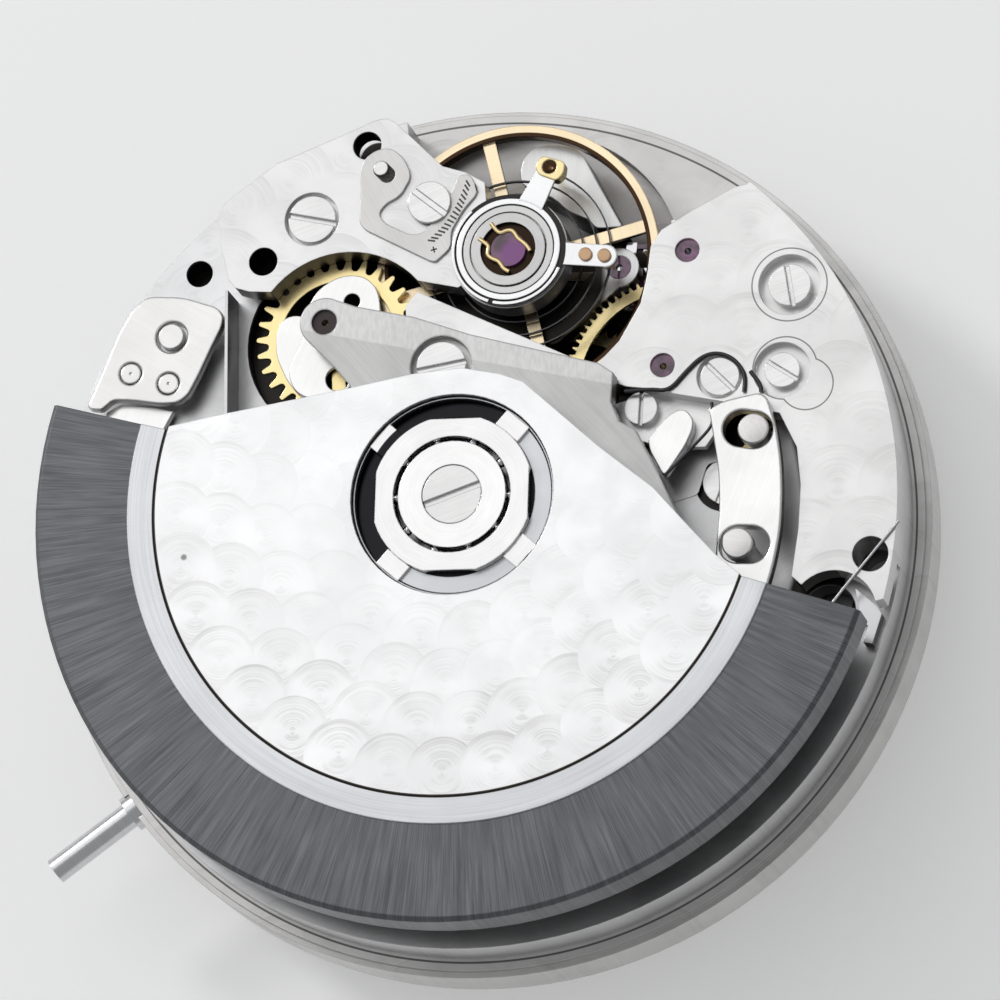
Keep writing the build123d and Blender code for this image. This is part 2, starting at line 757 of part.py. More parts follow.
with BuildPart() as fourth_wheel:
    gear(
        fourth_axis,
        fourth_wheel_bottom,
        fourth_wheel_bottom + wheel_thickness,
        fourth_teeth,
        fourth_module,
        0,
        tip_share=tip_width_share,
        rim=wheel_rim_width,
        hub=wheel_hub_radius,
        arms=wheel_arms,
    )
    pinion_top = fourth_pinion_bottom + fourth_pinion_height
    gear(fourth_axis, fourth_pinion_bottom, pinion_top, fourth_leaves, third_module)
    arbor(fourth_axis, train_floor + part_gap / 2, upper_shoulder, pivot_length, pivot_length)
    disc(fourth_axis, -part_gap, train_floor + part_gap / 2, hand_pivot_radius)
    disc(fourth_axis, -hand_pivot_length, -part_gap, hand_seat_radius)
finish(fourth_wheel, "fourth_wheel")

escape_root_share = 0.8
escape_lean_share = 0.35
escape_arm_width = 0.25
with BuildPart() as escape_wheel:
    escape_root = escape_tip_radius * escape_root_share
    escape_pitch = 360 / escape_teeth
    escape_outline = []
    for tooth in range(escape_teeth):
        foot = escape_turn + tooth * escape_pitch
        lean = foot + escape_lean_share * escape_pitch
        escape_outline.append(polar(escape_root, foot - escape_lean_share * escape_pitch))
        escape_outline.append(polar(escape_root, foot))
        escape_outline.append(polar(escape_tip_radius, lean - tip_width_share * escape_pitch))
        escape_outline.append(polar(escape_tip_radius, lean))
    with BuildSketch(at_height(escape_axis, escape_wheel_bottom)) as face:
        Polygon(*escape_outline, align=None)
        Circle(escape_root - escape_arm_width, mode=Mode.SUBTRACT)
        Circle(wheel_hub_radius)
        with PolarLocations(escape_root / 2, wheel_arms, start_angle=escape_turn):
            Rectangle(escape_root - escape_arm_width / 2, escape_arm_width)
    extrude(face.sketch, wheel_thickness)
    pinion_top = escape_pinion_bottom + escape_pinion_height
    gear(escape_axis, escape_pinion_bottom, pinion_top, escape_leaves, fourth_module, escape_turn)
    arbor(escape_axis, plate_thickness + part_gap / 2, upper_shoulder, pivot_length, pivot_length)
finish(escape_wheel, "escape_wheel")

# Pallet fork: a lever from the pallet stones to the notch that takes the impulse jewel
fork_thickness = 0.2
fork_bottom = escape_wheel_bottom
fork_hub_radius = 0.3
fork_width = 0.3
fork_end_width = 0.85
fork_end_length = 0.5
fork_notch_width = 0.24
fork_notch_depth = 0.4
fork_arm_width = 0.28
fork_arm_back = 0.35
fork_arm_spread = 1.06
stone_width = 0.16
stone_length = 0.36
pallet_bridge_gap = 0.2
pallet_bridge_thickness = 0.7
pallet_bridge_bottom = calibre_bridge_bottom + pallet_bridge_gap
pallet_bridge_top = pallet_bridge_bottom + pallet_bridge_thickness
fork_plane = Plane(
    origin=(pallet_axis[0], pallet_axis[1], fork_bottom),
    x_dir=(cos(radians(pallet_line)), sin(radians(pallet_line)), 0),
    z_dir=(0, 0, 1),
)
fork_reach = pallet_to_balance - impulse_radius + fork_notch_depth / 2
with BuildPart() as pallet_fork:
    with BuildSketch(fork_plane) as face:
        Circle(fork_hub_radius)
        with Locations((fork_reach / 2, 0)):
            Rectangle(fork_reach, fork_width)
        with Locations((fork_reach - fork_end_length / 2, 0)):
            Rectangle(fork_end_length, fork_end_width)
        with Locations((fork_reach - fork_notch_depth / 2, 0)):
            Rectangle(fork_notch_depth, fork_notch_width, mode=Mode.SUBTRACT)
        for side in (1, -1):
            Polygon(
                (fork_arm_width / 2, 0),
                (0, side * (fork_arm_spread + fork_arm_width / 2)),
                (-fork_arm_back, side * (fork_arm_spread + fork_arm_width / 2)),
                (-fork_arm_back, side * (fork_arm_spread - fork_arm_width / 2)),
                (-fork_arm_width, 0),
                align=None,
            )
    extrude(face.sketch, fork_thickness)
    fork_top = pallet_bridge_bottom - part_gap / 2
    fork_pivot = pallet_bridge_thickness - part_gap
    arbor(pallet_axis, balance_floor + part_gap / 2, fork_top, pivot_length, fork_pivot)
finish(pallet_fork, "pallet_fork")

with BuildPart() as pallet_stones:
    with BuildSketch(fork_plane) as face:
        for side in (1, -1):
            with Locations((-fork_arm_back - stone_length / 2, side * fork_arm_spread)):
                Rectangle(stone_length, stone_width)
    extrude(face.sketch, fork_thickness)
finish(pallet_stones, "pallet_stones")

# Balance wheel, staff and hairspring
with BuildPart() as balance_wheel:
    rim_inner = balance_radius - balance_rim_width
    rim_top = balance_rim_bottom + balance_rim_height
    disc(balance_axis, balance_rim_bottom, rim_top, balance_radius, rim_inner)
    with BuildSketch(at_height(balance_axis, balance_rim_bottom + part_gap)) as face:
        Circle(balance_hub_radius)
        with PolarLocations(rim_inner / 2, balance_spoke_count, start_angle=balance_spoke_turn):
            Rectangle(rim_inner + part_gap, balance_spoke_width)
        Circle(staff_radius, mode=Mode.SUBTRACT)
    extrude(face.sketch, balance_spoke_thickness)
finish(balance_wheel, "balance_wheel")

staff_top = upper_bridge_top - part_gap
with BuildPart() as balance_staff:
    disc(balance_axis, balance_floor + part_gap / 2, staff_top, staff_radius)
    disc(balance_axis, balance_floor - pivot_length, balance_floor + part_gap / 2, pivot_radius)
    disc(balance_axis, staff_top, staff_top + pivot_length, pivot_radius)
    disc(balance_axis, roller_bottom, roller_bottom + roller_thickness, roller_radius)
    collet_bottom = hairspring_bottom - running_gap
    disc(balance_axis, collet_bottom, collet_bottom + collet_height, collet_radius)
    impulse_place = moved(balance_axis, impulse_radius, pallet_line + 180)
    disc(impulse_place, roller_bottom - impulse_jewel_length, roller_bottom, impulse_jewel_radius)
finish(balance_staff, "balance_staff")

with BuildPart() as hairspring:
    hairspring_gap = spiral_strip(
        balance_axis,
        hairspring_bottom,
        hairspring_bottom + hairspring_height,
        hairspring_inner,
        hairspring_pitch,
        hairspring_thickness,
        hairspring_half_turns,
        stud_turn,
    )
finish(hairspring, "hairspring")
print("hairspring least gap", round(hairspring_gap, 3))

# Screws that hold the bridges, each in its counterbore
screw_shank_radius = 0.35
screw_shank_length = 1.2
screw_bore_radius = screw_shank_radius + running_gap
cock_screw_place = plan((-5.7, 10.45))
cock_screw_head = 0.83
cock_recess_radius = 0.95
cock_recess_depth = 0.4
side_screw_place = plan((10.85, 7.45))
side_screw_head = 0.72
side_recess_radius = 1.05
side_recess_depth = 0.45
small_screw_place = plan((8.55, 4.35))
small_screw_head = 0.66
small_recess_radius = 0.78
small_recess_depth = 0.35
small_shank_length = 0.5
shelf_screw_place = plan((5.85, 3.4))
shelf_screw_head = 0.56
shelf_head_height = 0.4
eccentric_place = plan((10.65, 4.5))
eccentric_head = 0.6
eccentric_recess_radius = 0.95
arm_screw_place = plan((-0.8, 4.8))
arm_screw_head = 0.85
arm_recess_radius = 1.05
arm_recess_depth = 0.35
arm_seat_radius = 0.8
bridge_foot_radius = 0.7
automatic_feet_shares = [(-5.6, -1.5), (6.6, -2.0), (-4.3, -8.9)]
automatic_feet = outline(automatic_feet_shares)
lower_screw_place = plan((8.53, 1.15))
lower_recess_radius = 1.05
lower_recess_depth = 0.25
lower_screw_head = 0.78

# Levers of the chronograph: pivots and guide studs
hammer_axis = plan((9.55, 0.3))
hammer_pivot_radius = 0.3
hammer_pillar_radius = 0.55
hammer_pivot_depth = 0.8
stud_places = [plan((9.87, 2.25)), plan((9.42, -1.65))]
guide_stud_radius = 0.43
hammer_thickness = 0.55
stud_rise = 0.15
operating_axis = plan((-10.62, 6.6))
operating_gap = 0.6
operating_thickness = 0.4
operating_pillar_radius = 0.7
operating_bore = 0.55
second_axis = plan((-12.2, 0.9))
second_gap = 0.2
second_thickness = 0.3
second_pin_radius = 0.3
finger_axis = plan((7.2, 2.75))
finger_thickness = 0.3
finger_head_radius = 0.52
finger_stud_radius = 0.2
shelf_thickness = 0.3
shelf_top = upper_bridge_bottom + shelf_thickness

# Calibre bridge: carries the barrel, the third wheel and all that stands above it
bridge_foot_width = 1.6
bridge_foot_inner = bridge_radius - bridge_foot_width
bridge_window_shares = [
    (-2.2, 9.0), (-3.0, 15.5), (0.5, 16.0), (7.0, 15.5), (9.9, 12.0), (8.6, 10.2), (6.0, 9.0),
]
escape_sink_radius = escape_tip_radius + 3 * part_gap
fourth_sink_radius = tip_radius(fourth_teeth, fourth_module) + 1.5 * part_gap
counter_sink_radius = counter_tip_radius + 3 * part_gap
coupling_sink_radius = tip_radius(coupling_leaves, runner_module) + part_gap
fourth_bore_radius = 0.35
transfer_post_radius = 0.3
crown_arbor_radius = 0.45
locating_hole = plan((-10.02, 9.15))
well_place = plan((12.1, -3.4))
well_radius = 0.9
click_distance = 5.0
click_angle = 240
click_axis = moved(barrel_axis, click_distance, click_angle)
click_post_radius = 0.25
locating_hole_radius = 0.47
with BuildPart() as calibre_bridge:
    disc(centre_axis, calibre_bridge_bottom, calibre_bridge_top, bridge_radius)
    disc(centre_axis, plate_thickness, calibre_bridge_bottom, bridge_radius, bridge_foot_inner)
    slab(outline(bridge_window_shares), plate_thickness, calibre_bridge_top, mode=Mode.SUBTRACT)
    sinks = [
        (balance_axis, plate_thickness, balance_window_radius),
        (balance_axis, fourth_sink_floor, balance_sink_radius),
        (escape_axis, plate_thickness, escape_sink_radius),
        (fourth_axis, fourth_sink_floor, fourth_sink_radius),
        (counter_axis, counter_sink_floor, counter_sink_radius),
        (coupling_axis, fourth_sink_floor, coupling_sink_radius),
        (lower_screw_place, calibre_bridge_top - lower_recess_depth, lower_recess_radius),
    ]
    for place, floor, radius in sinks:
        disc(place, floor, calibre_bridge_top, radius, mode=Mode.SUBTRACT)
    # Pillars for the levers and the post of the transfer wheel
    disc(hammer_axis, calibre_bridge_top, automatic_bridge_bottom - part_gap / 2, hammer_pillar_radius)
    operating_seat = calibre_bridge_top + operating_gap
    disc(operating_axis, calibre_bridge_top, operating_seat, operating_pillar_radius)
    disc(transfer_axis, calibre_bridge_top, ratchet_top + running_gap, transfer_post_radius)
    disc(click_axis, calibre_bridge_top, ratchet_top + running_gap, click_post_radius)
    second_top = calibre_bridge_top + second_gap + second_thickness
    disc(second_axis, calibre_bridge_top, second_top, second_pin_radius)
    # Bores for the arbors, seats for the jewels and holes for the screws
    bores = [
        (centre_axis, centre_tube_radius + running_gap),
        (barrel_axis, barrel_pivot_radius + running_gap),
        (fourth_axis, fourth_bore_radius),
        (counter_axis, arbor_radius + part_gap),
        (crown_axis, crown_arbor_radius + running_gap),
        (coupling_axis, pivot_radius + running_gap),
        (locating_hole, locating_hole_radius),
        (well_place, well_radius),
    ]
    for place, radius in bores:
        disc(place, calibre_bridge_bottom, calibre_bridge_top, radius, mode=Mode.SUBTRACT)
    for angle in casing_screw_angles:
        clamp_place = polar(casing_screw_reach, angle)
        disc(clamp_place, plate_thickness, calibre_bridge_top, casing_hole_radius, mode=Mode.SUBTRACT)
    low_jewel_top = calibre_bridge_bottom + jewel_thickness
    disc(third_axis, calibre_bridge_bottom, low_jewel_top, jewel_radius, mode=Mode.SUBTRACT)
    for place in (reverser_axis, reduction_axis):
        jewel_floor = calibre_bridge_top - jewel_thickness
        disc(place, jewel_floor, calibre_bridge_top, jewel_radius, mode=Mode.SUBTRACT)
    hammer_floor = automatic_bridge_bottom - part_gap - hammer_pivot_depth
    hammer_bore = hammer_pivot_radius + running_gap
    disc(hammer_axis, hammer_floor, automatic_bridge_bottom, hammer_bore, mode=Mode.SUBTRACT)
    for place in (cock_screw_place, side_screw_place, *automatic_feet, operating_axis):
        screw_floor = calibre_bridge_top - screw_shank_length
        disc(place, screw_floor, operating_seat, screw_bore_radius, mode=Mode.SUBTRACT)
    lower_floor = calibre_bridge_top - lower_recess_depth
    disc(lower_screw_place, calibre_bridge_bottom, lower_floor, screw_bore_radius, mode=Mode.SUBTRACT)
finish(calibre_bridge, "calibre_bridge")

# Pallet bridge: one foot on the main plate and a curved arm to the pallet jewel
pallet_foot = plan((-0.6, 7.3))
pallet_knee = plan((2.35, 6.75))
pallet_arm_radius = 0.5
pallet_foot_radius = 0.6
pallet_head_radius = 0.68
pallet_screw_head = 0.42
pallet_jewel_bottom = pallet_bridge_top - jewel_thickness
with BuildPart() as pallet_bridge:
    disc(pallet_foot, balance_floor, pallet_bridge_top, pallet_foot_radius)
    capsule(pallet_foot, pallet_knee, pallet_bridge_bottom, pallet_bridge_top, pallet_arm_radius)
    capsule(pallet_knee, pallet_axis, pallet_bridge_bottom, pallet_bridge_top, pallet_arm_radius)
    disc(pallet_axis, pallet_bridge_bottom, pallet_bridge_top, pallet_head_radius)
    under_radius = arbor_radius + part_gap / 2
    disc(pallet_axis, pallet_bridge_bottom, pallet_jewel_bottom, under_radius, mode=Mode.SUBTRACT)
    disc(pallet_axis, pallet_jewel_bottom, pallet_bridge_top, jewel_radius, mode=Mode.SUBTRACT)
finish(pallet_bridge, "pallet_bridge")

# Chronograph bridge: the plate at the right, with an arm that runs under the automatic bridge
chronograph_bridge_shares = [
    (9.35, 11.05), (8.9, 10.95), (7.5, 10.2), (6.45, 9.55), (6.1, 9.0), (6.0, 8.0), (5.8, 7.0), (5.1, 5.7),
    (4.4, 4.95), (3.9, 5.0), (1.0, 6.35), (-1.9, 7.7), (-2.3, 7.2), (-2.15, 5.2), (-1.75, 4.1), (0.2, 4.2),
    (2.4, 3.8), (4.9, 3.6), (5.0, 4.25), (5.4, 4.1), (6.6, 3.95), (7.0, 3.8), (8.5, 3.5), (10.6, 3.0),
    (11.2, 1.8), (11.35, 0.5), (11.3, -1.0), (11.1, -2.6), (12.5, -3.9), (16.0, -3.0), (16.0, 13.0),
    (11.0, 13.0),
]
shelf_shares = [
    (4.9, 3.7), (4.95, 2.95), (5.6, 2.45), (6.6, 2.1), (8.0, 2.1), (8.6, 3.0), (8.6, 3.7), (6.6, 4.2),
]
spring_post_place = plan((8.3, 3.2))
spring_post_radius = 0.12
finger_spring_height = 5.86
side_foot_width = 2.0
side_foot_inner = bridge_radius - side_foot_width
side_foot_start = -8
side_foot_end = 44
side_opening = plan((12.5, -3.9))
side_opening_radius = 1.45
with BuildPart() as chronograph_bridge:
    with BuildSketch(Plane.XY.offset(upper_bridge_bottom)) as face:
        Polygon(*outline(chronograph_bridge_shares), align=None)
        Circle(bridge_radius, mode=Mode.INTERSECT)
    extrude(face.sketch, upper_bridge_thickness)
    ring_sector(
        calibre_bridge_top,
        upper_bridge_bottom,
        side_foot_inner,
        bridge_radius,
        side_foot_start,
        side_foot_end,
    )
    disc(side_screw_place, calibre_bridge_top, upper_bridge_bottom, side_recess_radius)
    slab(outline(shelf_shares), upper_bridge_bottom, shelf_top)
    disc(finger_axis, shelf_top, shelf_top + finger_thickness + 2 * part_gap, finger_stud_radius)
    disc(spring_post_place, shelf_top, finger_spring_height, spring_post_radius)
    disc(side_opening, calibre_bridge_top, upper_bridge_top, side_opening_radius, mode=Mode.SUBTRACT)
    clamp_place = polar(casing_screw_reach, casing_screw_angles[0])
    disc(clamp_place, calibre_bridge_top, upper_bridge_top, casing_hole_radius, mode=Mode.SUBTRACT)
    recesses = [
        (side_screw_place, side_recess_depth, side_recess_radius),
        (small_screw_place, small_recess_depth, small_recess_radius),
        (eccentric_place, small_recess_depth, eccentric_recess_radius),
    ]
    for place, depth, radius in recesses:
        disc(place, upper_bridge_top - depth, upper_bridge_top, radius, mode=Mode.SUBTRACT)
    for place in (side_screw_place, small_screw_place, eccentric_place, shelf_screw_place, arm_screw_place):
        disc(place, calibre_bridge_top, upper_bridge_top, screw_bore_radius, mode=Mode.SUBTRACT)
    for place in (escape_axis, fourth_axis):
        disc(place, upper_bridge_bottom, upper_bridge_top, jewel_radius, mode=Mode.SUBTRACT)
finish(chronograph_bridge, "chronograph_bridge")

jewel_sink = 0.12
# Balance cock with its foot
cock_shares = [
    (-8.9, 9.7), (-8.95, 10.4), (-9.0, 10.9), (-8.6, 11.3), (-7.0, 12.5), (-5.0, 13.3), (-3.6, 13.9),
    (-3.2, 13.95), (-2.9, 13.8), (-1.2, 12.15), (-0.4, 11.9), (0.3, 11.5), (0.4, 10.65), (1.25, 9.0),
    (-0.5, 7.8), (-1.9, 8.1), (-4.4, 8.3), (-7.0, 7.9), (-7.8, 7.95), (-8.3, 8.1), (-8.55, 8.4), (-8.7, 9.0),
]
cock_foot_shares = [
    (-8.75, 9.7), (-8.85, 10.8), (-7.0, 12.35), (-4.6, 13.3), (-4.5, 11.0), (-4.9, 9.4), (-6.0, 9.3),
    (-7.3, 8.4), (-8.2, 8.3), (-8.55, 9.0),
]
cock_hub_radius = 2.0
cock_arc_centre = plan((-4.39, 5.91))
cock_arc_radius = 3.31
cock_hole_radius = 0.5
cock_holes = [plan((-3.85, 13.0)), plan((-7.35, 9.0))]
shock_bore_radius = 0.5
with BuildPart() as balance_cock:
    slab(outline(cock_shares), upper_bridge_bottom, upper_bridge_top)
    slab(outline(cock_foot_shares), calibre_bridge_top, upper_bridge_bottom)
    disc(balance_axis, upper_bridge_bottom, upper_bridge_top, cock_hub_radius)
    disc(cock_arc_centre, calibre_bridge_top, upper_bridge_top, cock_arc_radius, mode=Mode.SUBTRACT)
    disc(balance_axis, upper_bridge_bottom, upper_bridge_top, shock_bore_radius, mode=Mode.SUBTRACT)
    cock_recess_floor = upper_bridge_top - cock_recess_depth
    disc(cock_screw_place, cock_recess_floor, upper_bridge_top, cock_recess_radius, mode=Mode.SUBTRACT)
    disc(cock_screw_place, calibre_bridge_top, upper_bridge_top, screw_bore_radius, mode=Mode.SUBTRACT)
    for place in cock_holes:
        disc(place, calibre_bridge_top, upper_bridge_top, cock_hole_radius, mode=Mode.SUBTRACT)
finish(balance_cock, "balance_cock")

# Shock setting with its jewel, index ring, stud holder and regulator plate
shock_ring_radius = 1.28
shock_ring_inner = 0.95
shock_ring_height = 0.3
shock_ring_floor = 0.12
shock_sleeve_length = 0.5
cap_jewel_radius = 0.6
cap_jewel_height = 0.1
with BuildPart() as shock_setting:
    shock_top = upper_bridge_top + shock_ring_height
    floor_top = upper_bridge_top + shock_ring_floor
    disc(balance_axis, upper_bridge_top, shock_top, shock_ring_radius)
    disc(balance_axis, floor_top, shock_top, shock_ring_inner, mode=Mode.SUBTRACT)
    sleeve_bottom = upper_bridge_top - shock_sleeve_length
    disc(balance_axis, sleeve_bottom, upper_bridge_top, shock_bore_radius - running_gap)
    disc(balance_axis, sleeve_bottom, floor_top, staff_radius + part_gap / 2, mode=Mode.SUBTRACT)
finish(shock_setting, "shock_setting")

index_ring_inner = shock_ring_radius + 2 * running_gap
index_ring_outer = 1.9
index_thickness = 0.13
index_bottom = upper_bridge_top + running_gap
index_top = index_bottom + index_thickness
pin_arm_angle = -5.8
pin_arm_reach = 3.35
pin_arm_radius = 0.4
with BuildPart() as regulator_index:
    disc(balance_axis, index_bottom, index_top, index_ring_outer, index_ring_inner)
    arm_root = moved(balance_axis, (index_ring_inner + index_ring_outer) / 2, pin_arm_angle)
    arm_end = moved(balance_axis, pin_arm_reach, pin_arm_angle)
    capsule(arm_root, arm_end, index_bottom, index_top, (index_ring_outer - index_ring_inner) / 2)
    disc(arm_end, index_bottom, index_top, pin_arm_radius)
    disc(balance_axis, index_bottom, index_top, index_ring_inner, mode=Mode.SUBTRACT)
finish(regulator_index, "regulator_index")

spring_radius_at_pins = 3.24
pin_offset = 0.13
index_pin_radius = 0.06
pin_head_radius = 0.23
pin_head_height = 0.1
pin_head_reaches = (2.67, 3.32)
with BuildPart() as index_pins:
    for side in (-1, 1):
        pin_place = moved(balance_axis, spring_radius_at_pins + side * pin_offset, pin_arm_angle)
        disc(pin_place, hairspring_bottom - running_gap, index_bottom, index_pin_radius)
    for reach in pin_head_reaches:
        head_place = moved(balance_axis, reach, pin_arm_angle)
        disc(head_place, index_top, index_top + pin_head_height, pin_head_radius)
finish(index_pins, "index_pins")

stud_ring_outer = 1.96
stud_ring_thickness = 0.12
stud_ring_bottom = index_top + running_gap
stud_ring_top = stud_ring_bottom + stud_ring_thickness
stud_arm_radius = 0.35
clamp_reach = 3.25
clamp_length = 0.95
clamp_width = 0.75
clamp_hole_radius = 0.25
clamp_depth = 0.3
stud_pin_radius = 0.12
stud_pin_turn = 2.6
with BuildPart() as stud_holder:
    disc(balance_axis, stud_ring_bottom, stud_ring_top, stud_ring_outer, index_ring_inner)
    arm_root = moved(balance_axis, (index_ring_inner + stud_ring_outer) / 2, stud_turn)
    arm_end = moved(balance_axis, clamp_reach, stud_turn)
    capsule(arm_root, arm_end, stud_ring_bottom, stud_ring_top, stud_arm_radius)
    disc(balance_axis, stud_ring_bottom, stud_ring_top, index_ring_inner, mode=Mode.SUBTRACT)
    disc(arm_end, stud_ring_bottom, stud_ring_top, clamp_hole_radius, mode=Mode.SUBTRACT)
finish(stud_holder, "stud_holder")

with BuildPart() as stud_clamp:
    clamp_bottom = stud_ring_bottom - clamp_depth
    with BuildSketch(at_height(arm_end, clamp_bottom)) as face:
        Rectangle(clamp_length, clamp_width, rotation=stud_turn)
    extrude(face.sketch, clamp_depth)
    stud_reach = hairspring_inner + (hairspring_half_turns - 1) * hairspring_pitch / 2 + hairspring_pitch / 4
    stud_place = moved(balance_axis, stud_reach, stud_turn + stud_pin_turn)
    disc(stud_place, hairspring_bottom - running_gap, clamp_bottom, stud_pin_radius)
finish(stud_clamp, "stud_clamp")

regulator_shares = [
    (-4.0, 10.2), (-4.0, 11.4), (-4.05, 12.1), (-3.9, 12.5), (-3.5, 12.85), (-3.0, 12.9), (-2.6, 12.5),
    (-2.35, 12.0), (-2.25, 11.7), (-2.6, 11.1), (-3.0, 10.85), (-3.3, 10.5), (-3.1, 10.2), (-2.2, 9.75),
    (-1.6, 10.05), (-1.2, 10.9), (-0.75, 11.5), (-0.25, 11.75), (0.15, 11.1), (-0.4, 10.5), (-0.8, 9.75),
    (-0.75, 9.2), (-1.3, 8.7), (-1.5, 8.75), (-3.8, 9.95),
]
regulator_thickness = 0.12
regulator_pin = plan((-3.3, 12.1))
regulator_pin_radius = 0.25
regulator_screw_place = plan((-1.95, 10.85))
regulator_screw_head = 0.42
with BuildPart() as regulator_plate:
    slab(outline(regulator_shares), upper_bridge_top, upper_bridge_top + regulator_thickness)
    plate_top = upper_bridge_top + regulator_thickness
    disc(regulator_pin, upper_bridge_top, plate_top, regulator_pin_radius + running_gap, mode=Mode.SUBTRACT)
    disc(balance_axis, upper_bridge_top, plate_top, stud_ring_outer + running_gap, mode=Mode.SUBTRACT)
finish(regulator_plate, "regulator_plate")

# Automatic bridge: carries the rotor bearing, on three feet and on the arm of the bridge below
automatic_shares = [
    (-4.75, 7.34), (-3.8, 7.0), (-1.8, 6.56), (0.2, 5.86), (4.6, 4.7), (5.1, 4.36), (5.05, 3.36),
    (5.35, 2.66), (5.9, 2.36), (6.75, 0.76), (7.5, -0.84), (7.6, -2.6), (7.0, -7.2), (4.8, -7.9),
    (2.2, -5.2), (-1.5, -6.4), (-3.4, -9.7), (-5.1, -9.6), (-4.9, -6.0), (-6.5, -2.6), (-6.4, -0.6),
    (-4.4, 1.0), (-3.6, 3.0), (-3.9, 4.2), (-4.5, 4.9), (-5.2, 5.6), (-5.65, 6.1),
]
automatic_end_radius = 0.85
inner_ring_bore = 0.52
rotor_screw_floor = automatic_bridge_top - jewel_thickness
foot_recess_radius = 0.75
foot_recess_depth = 0.35
foot_screw_head = 0.62
reverser_bore_radius = 0.3
automatic_jewel_radius = 0.44
with BuildPart() as automatic_bridge:
    slab(outline(automatic_shares), automatic_bridge_bottom, automatic_bridge_top)
    disc(counter_axis, automatic_bridge_bottom, automatic_bridge_top, automatic_end_radius)
    disc(arm_screw_place, upper_bridge_top, automatic_bridge_bottom, arm_seat_radius)
    for place in automatic_feet:
        disc(place, calibre_bridge_top, automatic_bridge_bottom, bridge_foot_radius)
    for place in automatic_feet:
        seat = automatic_bridge_top - foot_recess_depth
        disc(place, seat, automatic_bridge_top, foot_recess_radius, mode=Mode.SUBTRACT)
        disc(place, calibre_bridge_top, automatic_bridge_top, screw_bore_radius, mode=Mode.SUBTRACT)
    arm_seat = automatic_bridge_top - arm_recess_depth
    disc(arm_screw_place, arm_seat, automatic_bridge_top, arm_recess_radius, mode=Mode.SUBTRACT)
    disc(arm_screw_place, upper_bridge_top, automatic_bridge_top, screw_bore_radius, mode=Mode.SUBTRACT)
    disc(
        counter_axis,
        automatic_bridge_bottom,
        automatic_bridge_top,
        automatic_jewel_radius,
        mode=Mode.SUBTRACT,
    )
    low_jewel_end = automatic_bridge_bottom + jewel_thickness
    for place in (centre_axis, reduction_axis, coupling_axis):
        disc(place, automatic_bridge_bottom, low_jewel_end, jewel_radius, mode=Mode.SUBTRACT)
    disc(centre_axis, rotor_screw_floor, automatic_bridge_top, inner_ring_bore, mode=Mode.SUBTRACT)
    disc(
        reverser_axis,
        automatic_bridge_bottom,
        automatic_bridge_top,
        reverser_bore_radius,
        mode=Mode.SUBTRACT,
    )
finish(automatic_bridge, "automatic_bridge")

# Screws of the bridges
foot_slot_turns = (20, 65, -40)
# Minute counter with its heart cam
counter_wheel_thickness = 0.15
counter_wheel_turn = 4
counter_arm_count = 4
counter_rim = 0.6
counter_hub = 0.7
counter_cam_thickness = 0.3
cam_long_radius = 2.2
cam_short_radius = 0.7
cam_tip_turn = 206
cam_samples = 36
cam_lobe_place = plan((-3.7, 7.1))
cam_lobe_radius = 0.5
cam_hole_place = plan((-4.25, 7.5))
cam_hole_radius = 0.27
cam_eye_radius = 0.5


def heart_points(place, short, long, tip_turn, samples):
    """The outline of a heart cam: its radius falls evenly on both sides from its tip."""
    points = []
    for sample in range(samples):
        turn = sample * 360 / samples
        fall_share = min(turn, 360 - turn) / 180
        points.append(moved(place, long + (short - long) * fall_share, tip_turn + turn))
    return points


with BuildPart() as minute_counter_wheel:
    counter_wheel_top = counter_wheel_bottom + counter_wheel_thickness
    gear(
        counter_axis,
        counter_wheel_bottom,
        counter_wheel_top,
        counter_teeth,
        counter_module,
        counter_wheel_turn,
        rim=counter_rim,
        hub=counter_hub,
        arms=counter_arm_count,
    )
    arbor_bottom = plate_thickness + part_gap / 2
    disc(counter_axis, arbor_bottom, automatic_bridge_bottom - part_gap / 2, arbor_radius)
    counter_tip = automatic_bridge_bottom + pivot_length
    disc(counter_axis, automatic_bridge_bottom - part_gap / 2, counter_tip, pivot_radius)
    disc(counter_axis, -part_gap, arbor_bottom, hand_pivot_radius)
    disc(counter_axis, -hand_pivot_length, -part_gap, hand_seat_radius)
finish(minute_counter_wheel, "minute_counter_wheel")

with BuildPart() as counter_cam:
    cam_top = counter_wheel_top + counter_cam_thickness
    heart = heart_points(counter_axis, cam_short_radius, cam_long_radius, cam_tip_turn, cam_samples)
    slab(heart, counter_wheel_top, cam_top)
    capsule(counter_axis, cam_lobe_place, counter_wheel_top, cam_top, cam_lobe_radius)
    disc(cam_hole_place, counter_wheel_top, cam_top, cam_eye_radius)
    disc(cam_hole_place, counter_wheel_top, cam_top, cam_hole_radius, mode=Mode.SUBTRACT)
    disc(counter_axis, counter_wheel_top, cam_top, arbor_radius, mode=Mode.SUBTRACT)
finish(counter_cam, "counter_cam")

